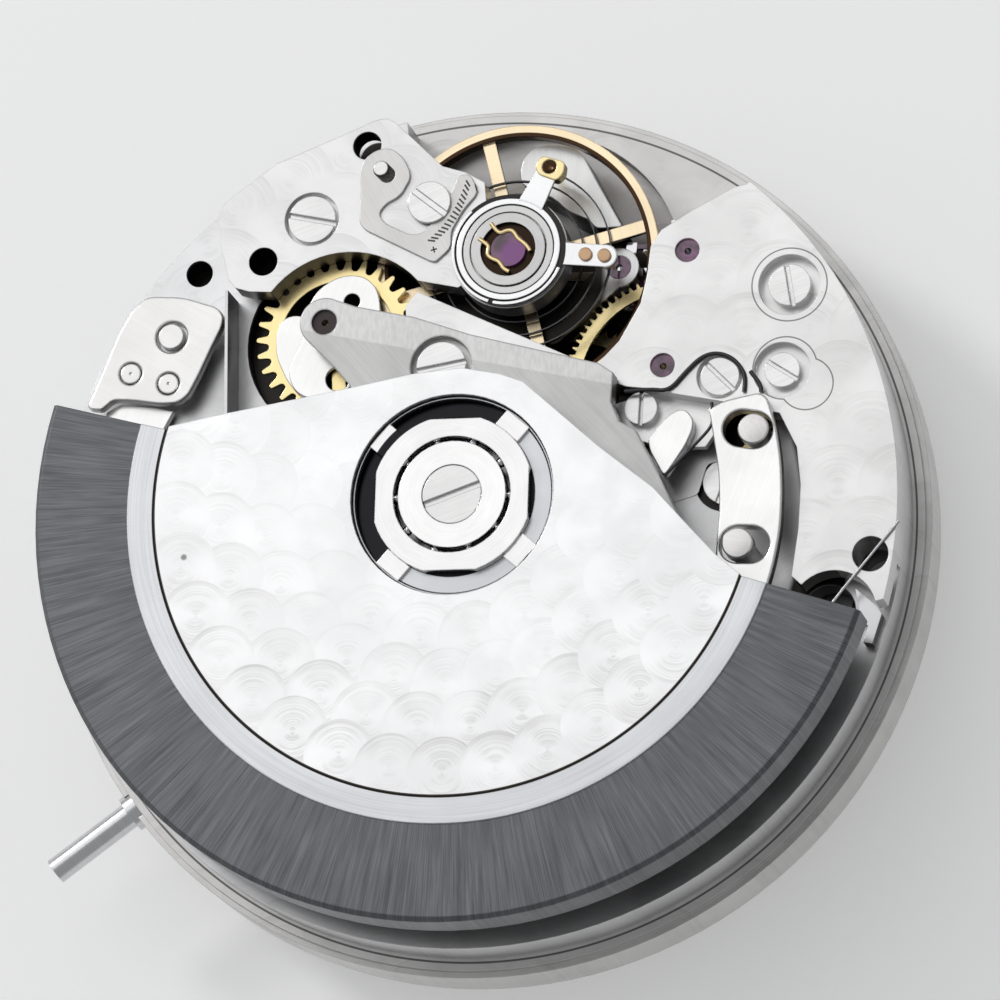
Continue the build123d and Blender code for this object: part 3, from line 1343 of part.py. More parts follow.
# Chronograph runner on the centre axis, with its heart cam, and the oscillating pinion
runner_wheel_thickness = 0.15
runner_arm_count = 4
runner_rim = 0.4
runner_hub = 0.6
runner_cam_long = 1.9
runner_cam_short = 0.6
runner_tip_turn = 60
runner_cam_gap = 0.1
runner_cam_thickness = 0.3
runner_shoulder_low = -1.5
with BuildPart() as chronograph_runner:
    runner_top = runner_wheel_bottom + runner_wheel_thickness
    gear(
        centre_axis,
        runner_wheel_bottom,
        runner_top,
        runner_teeth,
        runner_module,
        runner_turn,
        rim=runner_rim,
        hub=runner_hub,
        arms=runner_arm_count,
    )
    runner_end = automatic_bridge_bottom - part_gap
    disc(centre_axis, runner_shoulder_low, runner_end, runner_arbor_radius)
    disc(centre_axis, runner_end, automatic_bridge_bottom + pivot_length, pivot_radius)
    disc(centre_axis, -seconds_pivot_length, runner_shoulder_low, hand_pivot_radius)
    cam_bottom = runner_top + runner_cam_gap
    heart = heart_points(centre_axis, runner_cam_short, runner_cam_long, runner_tip_turn, cam_samples)
    slab(heart, cam_bottom, cam_bottom + runner_cam_thickness)
finish(chronograph_runner, "chronograph_runner")

coupling_arbor_radius = 0.15
coupling_pinion_height = 0.3
coupling_upper_height = 0.35
with BuildPart() as coupling_pinion:
    coupling_low = fourth_sink_floor + part_gap / 2
    coupling_high = automatic_bridge_bottom - part_gap / 2
    disc(coupling_axis, coupling_low, coupling_high, coupling_arbor_radius)
    disc(coupling_axis, coupling_low - pivot_length + running_gap, coupling_low, pivot_radius)
    disc(coupling_axis, coupling_high, coupling_high + pivot_length, pivot_radius)
    lower_leaves = fourth_wheel_bottom - part_gap / 2
    lower_leaves_top = lower_leaves + coupling_pinion_height
    gear(coupling_axis, lower_leaves, lower_leaves_top, coupling_leaves, fourth_module, coupling_turn)
    upper_leaves = runner_wheel_bottom - part_gap
    upper_leaves_top = upper_leaves + coupling_upper_height
    gear(coupling_axis, upper_leaves, upper_leaves_top, upper_coupling_leaves, runner_module, 0)
finish(coupling_pinion, "coupling_pinion")

# Winding train: reversing wheel, reduction wheel, crown wheel, transfer wheel and click
reverser_wheel_height = 0.15
reverser_arbor_radius = 0.15
reverser_sleeve_radius = 0.27
reverser_hub_radius = 0.45
reverser_hub_height = 0.2
output_bottom = 5.2
output_height = 0.4
reverser_rim = 0.5
reverser_arm_count = 5
with BuildPart() as reverser_input:
    input_top = rotor_gear_bottom + reverser_wheel_height
    gear(
        reverser_axis,
        rotor_gear_bottom,
        input_top,
        reverser_teeth,
        reverser_module,
        reverser_turn,
        rim=reverser_rim,
        hub=reverser_hub_radius,
        arms=reverser_arm_count,
    )
    disc(reverser_axis, input_top, input_top + reverser_hub_height, reverser_hub_radius)
    sleeve_bottom = automatic_bridge_bottom + part_gap
    disc(reverser_axis, sleeve_bottom, rotor_gear_bottom, reverser_sleeve_radius)
    bore_radius = reverser_arbor_radius + running_gap
    disc(reverser_axis, sleeve_bottom, input_top + reverser_hub_height, bore_radius, mode=Mode.SUBTRACT)
finish(reverser_input, "reverser_input")

with BuildPart() as reverser_output:
    arbor_start = calibre_bridge_top + part_gap / 2
    disc(reverser_axis, arbor_start, input_top + reverser_hub_height, reverser_arbor_radius)
    disc(reverser_axis, arbor_start - pivot_length, arbor_start, pivot_radius)
    gear(reverser_axis, output_bottom, output_bottom + output_height, output_leaves, reduction_module, 0)
finish(reverser_output, "reverser_output")

reduction_wheel_bottom = 5.3
reduction_wheel_height = 0.15
reduction_rim = 0.45
reduction_arm_count = 4
reduction_hub = 0.6
with BuildPart() as reduction_wheel:
    reduction_top = reduction_wheel_bottom + reduction_wheel_height
    gear(
        reduction_axis,
        reduction_wheel_bottom,
        reduction_top,
        reduction_teeth,
        reduction_module,
        reduction_turn,
        rim=reduction_rim,
        hub=reduction_hub,
        arms=reduction_arm_count,
    )
    reduction_end = automatic_bridge_bottom - part_gap / 2
    disc(reduction_axis, arbor_start, reduction_end, arbor_radius)
    disc(reduction_axis, arbor_start - pivot_length, arbor_start, pivot_radius)
    disc(reduction_axis, reduction_end, reduction_end + pivot_length, pivot_radius)
    gear(reduction_axis, arbor_start, ratchet_top + part_gap / 2, reduction_leaves, ratchet_module, 0)
finish(reduction_wheel, "reduction_wheel")

winding_teeth = 16
winding_module = 0.1
contrate_mesh_radius = 2.4
contrate_teeth = 48
contrate_inner = 2.15
contrate_outer = 2.65
contrate_tooth_share = 0.36
contrate_tooth_bottom = plate_thickness + 2 * running_gap
contrate_disc_bottom = 2.86
contrate_disc_top = 3.1
with BuildPart() as crown_wheel:
    disc(crown_axis, contrate_disc_bottom, contrate_disc_top, contrate_outer)
    tooth_width = 2 * contrate_mesh_radius * sin(radians(180 / contrate_teeth)) * contrate_tooth_share
    with BuildSketch(at_height(crown_axis, contrate_tooth_bottom)) as teeth_face:
        tooth_middle = (contrate_inner + contrate_outer) / 2
        first_tooth = stem_angle + 180 / contrate_teeth
        with PolarLocations(tooth_middle, contrate_teeth, start_angle=first_tooth):
            Rectangle(contrate_outer - contrate_inner - part_gap, tooth_width)
    extrude(teeth_face.sketch, contrate_disc_bottom - contrate_tooth_bottom)
    disc(crown_axis, contrate_disc_top, ratchet_bottom, crown_arbor_radius)
    gear(crown_axis, ratchet_bottom, ratchet_top, crown_leaves, ratchet_module, crown_turn)
finish(crown_wheel, "crown_wheel")

with BuildPart() as transfer_wheel:
    gear(transfer_axis, ratchet_bottom, ratchet_top, transfer_leaves, ratchet_module, transfer_turn)
    disc(transfer_axis, ratchet_bottom, ratchet_top, transfer_post_radius + running_gap, mode=Mode.SUBTRACT)
finish(transfer_wheel, "transfer_wheel")

click_nose_radius = 0.12
click_eye_radius = 0.5
click_tail_length = 1.3
click_nose_angle = 262
with BuildPart() as click:
    nose_reach = tip_radius(ratchet_teeth, ratchet_module) + click_nose_radius + part_gap / 2
    nose_place = moved(barrel_axis, nose_reach, click_nose_angle)
    disc(click_axis, ratchet_bottom, ratchet_top, click_eye_radius)
    capsule(click_axis, nose_place, ratchet_bottom, ratchet_top, click_nose_radius)
    tail_place = moved(click_axis, click_tail_length, bearing_to(nose_place, click_axis))
    capsule(click_axis, tail_place, ratchet_bottom, ratchet_top, click_nose_radius)
    disc(click_axis, ratchet_bottom, ratchet_top, click_post_radius + running_gap, mode=Mode.SUBTRACT)
finish(click, "click")

# Rotor: bearing, thin plate and heavy segment
race_bore = 2.0
race_corner_radius = 2.75
race_flat_width = 5.2
race_flange_radius = 4.0
race_channel_inner = 2.78
race_channel_outer = 3.4
race_channel_web = 0.15
race_channel_floor = race_flange_bottom + race_channel_web
lug_angles = (50, 140, 230, 320)
lug_width = 1.0
lug_top = 7.75
ball_radius = 0.17
ball_groove_radius = 0.18
ball_count = 10
inner_ring_radius = 1.83
ball_circle = (inner_ring_radius + race_bore) / 2
ball_height = (race_flange_bottom + rotor_top) / 2
rotor_screw_head = 1.0
rotor_screw_head_height = 0.33
rotor_screw_recess = 0.35
rotor_screw_shank = 0.48
rotor_slot_turn = 20
plate_hole_radius = 3.45
rotor_plate_radius = 10.24
with BuildPart() as bearing_outer_race:
    with BuildSketch(Plane.XY.offset(rotor_plate_bottom)) as race_face:
        Circle(race_corner_radius)
        Rectangle(race_flat_width, race_flat_width, mode=Mode.INTERSECT)
    extrude(race_face.sketch, rotor_plate_thickness)
    disc(centre_axis, race_flange_bottom, rotor_plate_bottom, race_flange_radius)
    disc(
        centre_axis,
        race_channel_floor,
        rotor_plate_bottom,
        race_channel_outer,
        race_channel_inner,
        mode=Mode.SUBTRACT,
    )
    for angle in lug_angles:
        outward = (*polar(1, angle), 0)
        lug_plane = Plane(origin=(0, 0, race_channel_floor), x_dir=outward, z_dir=(0, 0, 1))
        with BuildSketch(lug_plane) as lug_face:
            with Locations(((race_channel_inner + race_channel_outer) / 2 - part_gap / 2, 0)):
                Rectangle(race_channel_outer - race_channel_inner, lug_width)
        extrude(lug_face.sketch, lug_top - race_channel_floor)
    gear(centre_axis, rotor_gear_bottom, race_flange_bottom, rotor_gear_teeth, reverser_module)
    disc(centre_axis, rotor_gear_bottom, rotor_top, race_bore, mode=Mode.SUBTRACT)
    with Locations((0, 0, ball_height)):
        Torus(ball_circle, ball_groove_radius, mode=Mode.SUBTRACT)
finish(bearing_outer_race, "bearing_outer_race")

with BuildPart() as bearing_inner_ring:
    disc(centre_axis, automatic_bridge_top, rotor_top, inner_ring_radius, inner_ring_bore)
    head_bore = rotor_screw_head + running_gap
    disc(centre_axis, rotor_top - rotor_screw_recess, rotor_top, head_bore, mode=Mode.SUBTRACT)
    with Locations((0, 0, ball_height)):
        Torus(ball_circle, ball_groove_radius, mode=Mode.SUBTRACT)
finish(bearing_inner_ring, "bearing_inner_ring")

with BuildPart() as bearing_balls:
    with Locations((0, 0, ball_height)):
        with PolarLocations(ball_circle, ball_count):
            Sphere(ball_radius)
finish(bearing_balls, "bearing_balls")

with BuildPart() as rotor_screw:
    screw_seat = rotor_top - rotor_screw_recess
    thread_length = screw_seat - rotor_screw_floor - running_gap
    slotted_screw(
        centre_axis,
        screw_seat,
        rotor_screw_head_height,
        rotor_screw_head,
        rotor_screw_shank,
        thread_length,
        rotor_slot_turn,
    )
finish(rotor_screw, "rotor_screw")

rotor_plate_shares = [
    (-9.95, 2.65), (-7.9, 3.05), (-5.0, 3.55), (-3.3, 3.85), (-1.5, 4.2), (0.2, 4.35), (1.5, 4.1),
    (2.3, 3.8), (4.9, 1.5), (6.8, 0.0), (7.7, -1.0), (8.9, -2.3), (9.9, -3.15), (12.0, -3.8),
    (12.0, -12.0), (-12.0, -12.0), (-12.0, 3.1),
]
with BuildPart() as rotor_plate:
    with BuildSketch(Plane.XY.offset(rotor_plate_bottom)) as rotor_face:
        Polygon(*outline(rotor_plate_shares), align=None)
        Circle(rotor_plate_radius, mode=Mode.INTERSECT)
        Circle(plate_hole_radius, mode=Mode.SUBTRACT)
    extrude(rotor_face.sketch, rotor_plate_thickness)
finish(rotor_plate, "rotor_plate")

segment_start = 165.5
segment_arc = 177
ledge_radius = 9.6
ledge_bottom = 7.1
ring_inner_radius = 10.26
ring_outer_radius = 11.16
segment_outer_radius = 14.4
segment_bottom = 6.35
segment_top = 7.85
segment_bevel = 0.15
with BuildPart() as heavy_segment:
    segment_along = (*polar(1, segment_start), 0)
    segment_normal = (sin(radians(segment_start)), -cos(radians(segment_start)), 0)
    with BuildSketch(Plane(origin=(0, 0, 0), x_dir=segment_along, z_dir=segment_normal)) as profile:
        Polygon(
            (ledge_radius, ledge_bottom),
            (ring_outer_radius, ledge_bottom),
            (ring_outer_radius, segment_bottom),
            (segment_outer_radius, segment_bottom),
            (segment_outer_radius, segment_top - segment_bevel),
            (segment_outer_radius - segment_bevel, segment_top),
            (ring_outer_radius, segment_top),
            (ring_outer_radius, rotor_top),
            (ring_inner_radius, rotor_top),
            (ring_inner_radius, rotor_plate_bottom),
            (ledge_radius, rotor_plate_bottom),
            align=None,
        )
    revolve(profile.sketch, Axis.Z, segment_arc)
finish(heavy_segment, "heavy_segment")

# Levers of the chronograph
hammer_shares = [
    (8.32, 3.0), (8.77, 3.3), (10.07, 3.58), (10.32, 3.4), (10.62, 2.4), (10.82, 1.1), (10.87, -0.2),
    (10.77, -1.5), (10.57, -2.6), (10.37, -3.2), (10.1, -3.7), (9.2, -3.8), (8.7, -3.2), (8.67, -1.8),
    (8.77, -1.0), (8.77, 0.3), (8.57, 1.8),
]
hammer_bottom = automatic_bridge_bottom
hammer_top = hammer_bottom + hammer_thickness
window_travel = 0.45
window_directions = (170.7, 0)
with BuildPart() as hammer_lever:
    slab(outline(hammer_shares), hammer_bottom, hammer_top)
    hammer_pin_end = hammer_floor + part_gap
    disc(hammer_axis, hammer_pin_end, hammer_bottom, hammer_pivot_radius)
    for place, direction in zip(stud_places, window_directions):
        window_end = moved(place, window_travel, direction)
        window_radius = guide_stud_radius + 1.5 * running_gap
        capsule(place, window_end, hammer_bottom, hammer_top, window_radius, mode=Mode.SUBTRACT)
finish(hammer_lever, "hammer_lever")

finger_shares = [(7.7, 2.7), (7.2, 1.7), (6.78, 0.95), (6.55, 1.0), (6.7, 1.6), (6.75, 2.6)]
with BuildPart() as finger_lever:
    finger_bottom = shelf_top + part_gap / 2
    finger_top = finger_bottom + finger_thickness
    disc(finger_axis, finger_bottom, finger_top, finger_head_radius)
    slab(outline(finger_shares), finger_bottom, finger_top)
    disc(finger_axis, finger_bottom, finger_top, finger_stud_radius + running_gap, mode=Mode.SUBTRACT)
finish(finger_lever, "finger_lever")

operating_shares = [
    (-11.42, 8.1), (-10.32, 8.0), (-9.12, 7.65), (-8.77, 7.25), (-8.92, 6.75), (-9.42, 5.65),
    (-9.87, 4.65), (-10.12, 4.3), (-11.12, 4.2), (-12.32, 4.45), (-12.72, 4.4), (-13.07, 4.05),
    (-13.62, 4.15), (-13.12, 5.45), (-12.52, 6.95), (-12.12, 7.55), (-11.62, 8.05),
]
rivet_places = [plan((-12.02, 5.35)), plan((-10.67, 4.95))]
rivet_radius = 0.35
rivet_rise = 0.04
operating_screw_head = 0.45
with BuildPart() as operating_lever:
    operating_top = operating_seat + operating_thickness
    slab(outline(operating_shares), operating_seat, operating_top)
    disc(operating_axis, operating_seat, operating_top, operating_bore, mode=Mode.SUBTRACT)
    for place in rivet_places:
        disc(place, operating_seat, operating_top, rivet_radius, mode=Mode.SUBTRACT)
    for place in rivet_places:
        disc(place, operating_seat - rivet_rise, operating_top + rivet_rise, rivet_radius)
finish(operating_lever, "operating_lever")

second_shares = [
    (-12.95, 4.15), (-12.45, 4.4), (-11.25, 4.25), (-10.6, 4.1), (-10.85, 3.6), (-11.3, 2.6),
    (-11.35, 1.4), (-11.6, 0.4), (-12.2, 0.15), (-12.8, 0.4), (-13.05, 1.2), (-13.1, 2.8),
]
with BuildPart() as second_lever:
    second_bottom = calibre_bridge_top + second_gap
    slab(outline(second_shares), second_bottom, second_top)
    disc(second_axis, second_bottom, second_top, second_pin_radius + running_gap, mode=Mode.SUBTRACT)
finish(second_lever, "second_lever")

blade_shares = [(-8.67, 8.05), (-8.57, 8.05), (-8.38, 3.0), (-8.5, 3.0)]
blade_root_shares = [(-8.75, 3.1), (-8.1, 3.1), (-8.0, 2.3), (-8.7, 2.2)]
blade_bottom = 4.45
blade_top = 5.85
corner_shares = [
    (13.05, -2.8), (13.75, -3.4), (13.95, -3.7), (13.65, -4.7), (13.35, -4.65), (13.5, -4.1), (13.25, -3.9),
]
corner_thickness = 0.5
# Wire springs on the side bridge
hammer_wire_radius = 0.07
hammer_wire_height = upper_bridge_top + hammer_wire_radius + running_gap
thin_wire_radius = 0.06
straight_wire_radius = 0.05
straight_wire_height = upper_bridge_top + straight_wire_radius
wire_bend = 0.2
hammer_wire_shares = [
    (5.35, 3.9), (6.2, 3.97), (6.85, 3.85), (7.4, 4.5), (7.9, 5.0), (8.4, 5.15), (8.9, 5.0), (9.3, 4.6),
    (9.45, 4.2), (9.4, 3.75),
]
return_wire_shares = [(9.6, 4.45), (9.8, 4.2), (9.97, 3.95), (9.98, 3.72)]
finger_wire_shares = [(6.75, 0.95), (8.0, 2.35), (8.35, 2.65), (8.3, 3.45)]
straight_wire_shares = [(12.35, -3.75), (12.8, -3.15), (14.65, -0.85)]
# Stem with its pinions, and the setting lever
groove_inner = 12.65
groove_outer = 12.95
groove_radius = 0.2
stem_thread_radius = 0.45
sliding_inner = 8.95
sliding_outer = 10.3
sliding_radius = 0.75
sliding_waist = 0.6
sliding_groove_inner = 9.4
sliding_groove_outer = 9.8
winding_inner = 10.45
winding_outer = 11.5
with BuildPart() as winding_stem:
    stem_disc(stem_inner_reach, groove_inner, stem_radius)
    stem_disc(groove_inner, groove_outer, groove_radius)
    stem_disc(groove_outer, stem_bearing_inner, stem_radius)
    stem_disc(stem_bearing_inner, stem_bearing_outer, stem_bearing_radius)
    stem_disc(stem_bearing_outer, stem_reach, stem_thread_radius)
finish(winding_stem, "winding_stem")

with BuildPart() as sliding_pinion:
    stem_disc(sliding_inner, sliding_groove_inner, sliding_radius)
    stem_disc(sliding_groove_inner, sliding_groove_outer, sliding_waist)
    stem_disc(sliding_groove_outer, sliding_outer, sliding_radius)
    stem_disc(sliding_inner, sliding_outer, stem_radius + running_gap, mode=Mode.SUBTRACT)
finish(sliding_pinion, "sliding_pinion")

with BuildPart() as winding_pinion:
    pinion_tip = tip_radius(winding_teeth, winding_module)
    pinion_root = root_radius(winding_teeth, winding_module)
    with BuildSketch(stem_plane(winding_inner)) as leaves:
        Polygon(*tooth_points(pinion_root, pinion_tip, winding_teeth, 90, 0), align=None)
    extrude(leaves.sketch, winding_outer - winding_inner)
    stem_disc(winding_inner, winding_outer, stem_radius + running_gap, mode=Mode.SUBTRACT)
finish(winding_pinion, "winding_pinion")

setting_plate_bottom = 2.45
setting_plate_top = 2.65
setting_peg_along = 12.8
setting_peg_across = 0.42
setting_peg_radius = 0.12
setting_peg_bottom = 1.7
setting_arm_radius = 0.22
setting_eye_radius = 0.42
with BuildPart() as setting_lever:
    peg_place = moved(polar(setting_peg_along, stem_angle), setting_peg_across, stem_angle + 90)
    disc(setting_axis, setting_plate_bottom, setting_plate_top, setting_eye_radius)
    capsule(setting_axis, peg_place, setting_plate_bottom, setting_plate_top, setting_arm_radius)
    disc(peg_place, setting_peg_bottom, setting_plate_bottom, setting_peg_radius)
    disc(setting_axis, setting_floor - jewel_thickness + part_gap, setting_plate_bottom, setting_pin_radius)
finish(setting_lever, "setting_lever")

# Jewels of the main plate and of the bridges, each in its seat
with BuildPart() as jewels:
    for place, floor, pivot in lower_jewels:
        disc(place, floor - jewel_thickness, floor, jewel_radius, pivot + running_gap)
    disc(third_axis, calibre_bridge_bottom, low_jewel_top, jewel_radius, pivot_radius + running_gap)
    for place in (reverser_axis, reduction_axis):
        disc(place, jewel_floor, calibre_bridge_top, jewel_radius, pivot_radius + running_gap)
    pivot_bore = pivot_radius + running_gap
    disc(pallet_axis, pallet_jewel_bottom, pallet_bridge_top, jewel_radius, pivot_bore)
    for place in (escape_axis, fourth_axis):
        jewel_top = upper_bridge_top - jewel_sink
        disc(place, upper_bridge_bottom, jewel_top, jewel_radius, pivot_radius + running_gap)
    pivot_end = staff_top + pivot_length + running_gap
    disc(balance_axis, floor_top, pivot_end + cap_jewel_height, cap_jewel_radius)
    disc(balance_axis, floor_top, pivot_end, staff_radius + part_gap / 2, mode=Mode.SUBTRACT)
    pivot_bore = pivot_radius + running_gap
    jewel_top = automatic_bridge_top - jewel_sink
    disc(counter_axis, automatic_bridge_bottom, jewel_top, automatic_jewel_radius, pivot_bore)
    for place in (centre_axis, reduction_axis, coupling_axis):
        disc(place, automatic_bridge_bottom, low_jewel_end, jewel_radius, pivot_bore)
finish(jewels, "jewels")

# Screws of the bridges, the eccentrics, the pivot screw of the operating lever and the guide studs
# of the hammer. Each slot is left where its screw came tight.
cock_slot_turn = -12
side_slot_turn = -80
small_slot_turn = -45
shelf_slot_turn = 88
lower_slot_turn = 70
eccentric_slot_turn = -33
arm_slot_turn = 10
operating_slot_turn = 30
regulator_slot_turn = -55
with BuildPart() as bridge_screws:
    cock_shank = cock_recess_floor - calibre_bridge_bottom - part_gap
    head_height = cock_recess_depth - running_gap
    slotted_screw(
        cock_screw_place,
        cock_recess_floor,
        head_height,
        cock_screw_head,
        screw_shank_radius,
        cock_shank,
        cock_slot_turn,
    )
    side_floor = upper_bridge_top - side_recess_depth
    side_shank = side_floor - calibre_bridge_bottom - part_gap
    head_height = side_recess_depth - running_gap
    slotted_screw(
        side_screw_place,
        side_floor,
        head_height,
        side_screw_head,
        screw_shank_radius,
        side_shank,
        side_slot_turn,
    )
    small_floor = upper_bridge_top - small_recess_depth
    head_height = small_recess_depth - running_gap
    slotted_screw(
        small_screw_place,
        small_floor,
        head_height,
        small_screw_head,
        screw_shank_radius,
        small_shank_length,
        small_slot_turn,
    )
    slotted_screw(
        shelf_screw_place,
        shelf_top,
        shelf_head_height,
        shelf_screw_head,
        screw_shank_radius,
        shelf_thickness - running_gap,
        shelf_slot_turn,
    )
    lower_seat = calibre_bridge_top - lower_recess_depth
    lower_shank = lower_seat - calibre_bridge_bottom - running_gap
    head_height = lower_recess_depth - running_gap
    slotted_screw(
        lower_screw_place,
        lower_seat,
        head_height,
        lower_screw_head,
        screw_shank_radius,
        lower_shank,
        lower_slot_turn,
    )
    slotted_screw(
        eccentric_place,
        small_floor,
        small_recess_depth - running_gap,
        eccentric_head,
        screw_shank_radius,
        small_shank_length,
        eccentric_slot_turn,
    )
    head_height = foot_recess_depth - running_gap
    foot_shank = seat - calibre_bridge_bottom - part_gap
    for place, slot_turn in zip(automatic_feet, foot_slot_turns):
        slotted_screw(place, seat, head_height, foot_screw_head, screw_shank_radius, foot_shank, slot_turn)
    arm_shank = arm_seat - upper_bridge_bottom - part_gap
    head_height = arm_recess_depth - running_gap
    slotted_screw(
        arm_screw_place,
        arm_seat,
        head_height,
        arm_screw_head,
        screw_shank_radius,
        arm_shank,
        arm_slot_turn,
    )
    head_height = operating_thickness - running_gap
    operating_shank = screw_shank_length - part_gap
    slotted_screw(
        operating_axis,
        operating_seat,
        head_height,
        operating_screw_head,
        screw_shank_radius,
        operating_shank,
        operating_slot_turn,
    )
    disc(regulator_pin, upper_bridge_top, plate_top + part_gap, regulator_pin_radius)
    slotted_screw(
        regulator_screw_place,
        upper_bridge_top,
        regulator_thickness,
        regulator_screw_head,
        pivot_radius,
        running_gap,
        regulator_slot_turn,
    )
    for place in stud_places:
        disc(place, calibre_bridge_top, hammer_top + stud_rise, guide_stud_radius)
finish(bridge_screws, "bridge_screws")

# Dark wire springs of the hammer lever and of the finger lever
with BuildPart() as wire_springs:
    wire(outline(hammer_wire_shares), hammer_wire_height, hammer_wire_radius, wire_bend)
    wire(outline(return_wire_shares), hammer_wire_height, hammer_wire_radius, wire_bend / 2)
    wire(outline(finger_wire_shares), finger_spring_height + thin_wire_radius, thin_wire_radius, wire_bend)
finish(wire_springs, "wire_springs")

# White springs: the blade at the left, the corner and the straight wire at the right
with BuildPart() as flat_springs:
    slab(outline(blade_shares), blade_bottom, blade_top)
    slab(outline(blade_root_shares), calibre_bridge_top, blade_top)
    slab(outline(corner_shares), calibre_bridge_top, calibre_bridge_top + corner_thickness)
    wire(outline(straight_wire_shares), straight_wire_height, straight_wire_radius, wire_bend)
finish(flat_springs, "flat_springs")
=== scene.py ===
"""Finishes and small parts of a self-winding chronograph movement, seen from its rotor side."""

import math
from collections import namedtuple

import bpy
from mathutils import Matrix, Vector


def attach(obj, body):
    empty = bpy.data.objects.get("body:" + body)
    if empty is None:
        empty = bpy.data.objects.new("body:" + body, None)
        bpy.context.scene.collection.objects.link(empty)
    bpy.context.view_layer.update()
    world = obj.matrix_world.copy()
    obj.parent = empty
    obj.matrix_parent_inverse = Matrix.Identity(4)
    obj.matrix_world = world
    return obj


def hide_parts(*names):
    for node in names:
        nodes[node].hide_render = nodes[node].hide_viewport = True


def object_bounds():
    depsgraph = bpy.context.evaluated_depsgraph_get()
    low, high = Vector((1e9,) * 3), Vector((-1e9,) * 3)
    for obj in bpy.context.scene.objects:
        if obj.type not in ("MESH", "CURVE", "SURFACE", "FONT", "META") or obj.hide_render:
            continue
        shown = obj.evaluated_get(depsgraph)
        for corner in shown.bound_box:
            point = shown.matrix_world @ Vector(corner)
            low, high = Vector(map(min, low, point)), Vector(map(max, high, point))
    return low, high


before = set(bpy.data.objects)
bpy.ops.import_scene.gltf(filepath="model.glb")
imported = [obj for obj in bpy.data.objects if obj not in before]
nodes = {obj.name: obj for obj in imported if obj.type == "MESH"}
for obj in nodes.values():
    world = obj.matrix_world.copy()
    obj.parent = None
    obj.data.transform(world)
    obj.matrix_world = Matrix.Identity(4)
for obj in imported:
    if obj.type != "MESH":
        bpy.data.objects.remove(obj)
cad_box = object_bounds()

MM = 0.001
TO_MM = (1000.0, 1000.0, 1000.0)
scene = bpy.context.scene
scene.view_settings.view_transform = "Standard"

# Places and levels that the small parts share with the movement, in millimetres
balance_axis = (1.25, 9.0)
counter_axis = (-4.9, 6.5)
barrel_axis = (0.6362, -7.2722)
side_screw = (10.85, 7.45)
bridge_top = 5.93
regulator_top = 6.05
rotor_top = 7.9
ring_inner = 10.24
ring_outer = 11.16
bridge_holes = [(-3.85, 13.0), (-7.35, 9.0)]

# Painted shade for what lies deep between the pieces, and the dark of lines cut in them, also used as painted shade
# on some walls
PAINTED_SHADE = (0.035, 0.032, 0.03, 1.0)
CUT_LINE_AND_SHADE = (0.06, 0.055, 0.05, 1.0)


# Node helpers

def wire_up(tree, node, values):
    """Sets a node's inputs: a socket is linked, anything else is its value."""
    for key, value in values.items():
        if isinstance(value, bpy.types.NodeSocket):
            tree.links.new(value, node.inputs[key])
        else:
            node.inputs[key].default_value = value
    return node


def calc(tree, operation, *values):
    """A Math node's result."""
    node = tree.nodes.new("ShaderNodeMath")
    node.operation = operation
    wire_up(tree, node, dict(enumerate(values)))
    return node.outputs[0]


def vector_calc(tree, operation, *values):
    """A Vector Math node's result."""
    node = tree.nodes.new("ShaderNodeVectorMath")
    node.operation = operation
    wire_up(tree, node, dict(enumerate(values)))
    return node.outputs["Value" if operation in ("LENGTH", "DOT_PRODUCT", "DISTANCE") else "Vector"]


def join_xyz(tree, x=0.0, y=0.0, z=0.0):
    node = wire_up(tree, tree.nodes.new("ShaderNodeCombineXYZ"), {0: x, 1: y, 2: z})
    return node.outputs[0]


def split_xyz(tree, vector):
    node = wire_up(tree, tree.nodes.new("ShaderNodeSeparateXYZ"), {0: vector})
    return node.outputs


def soft_step(tree, value, low, high, from_value=0.0, to_value=1.0):
    """A smooth change from one value to another between two limits."""
    node = tree.nodes.new("ShaderNodeMapRange")
    node.interpolation_type = "SMOOTHSTEP"
    wire_up(tree, node, {"Value": value, "From Min": low, "From Max": high, "To Min": from_value,
                         "To Max": to_value})
    return node.outputs["Result"]


def blend(tree, factor, first, second, kind="RGBA", mode="MIX"):
    """A Mix node's result, of colours or of vectors."""
    node = tree.nodes.new("ShaderNodeMix")
    node.data_type = kind
    if kind == "RGBA":
        node.blend_type = mode
    sockets = {socket.name: socket for socket in node.inputs if socket.enabled}
    for name, value in (("Factor", factor), ("A", first), ("B", second)):
        if isinstance(value, bpy.types.NodeSocket):
            tree.links.new(value, sockets[name])
        else:
            sockets[name].default_value = value
    return next(socket for socket in node.outputs if socket.enabled)


def times(tree, first, *others):
    """The product of these values."""
    for other in others:
        first = calc(tree, "MULTIPLY", first, other)
    return first


def most(tree, first, *others):
    """The greatest of these values."""
    for other in others:
        first = calc(tree, "MAXIMUM", first, other)
    return first


def falling(tree, value, low, high):
    """1 below two limits, 0 above them, with a smooth change between."""
    return soft_step(tree, value, low, high, 1.0, 0.0)


def between(tree, value, low, high, width=0.05):
    """1 where a value lies between two limits, 0 outside them."""
    return times(tree, soft_step(tree, value, low - width, low), falling(tree, value, high, high + width))


def near_line(tree, value, target, half_width):
    """1 on a thin line where a value meets its target, 0 elsewhere."""
    away = calc(tree, "ABSOLUTE", calc(tree, "SUBTRACT", value, target))
    return falling(tree, away, half_width * 0.6, half_width)


def on_plane(tree, place):
    """A place with its height left out."""
    return vector_calc(tree, "MULTIPLY", place, (1.0, 1.0, 0.0))


def reach_of(tree, place):
    """How far a place lies from the upright axis."""
    return vector_calc(tree, "LENGTH", on_plane(tree, place))


def distance_to(tree, flat, point):
    """How far a place on the plane lies from a point."""
    return vector_calc(tree, "DISTANCE", flat, (*point, 0.0))


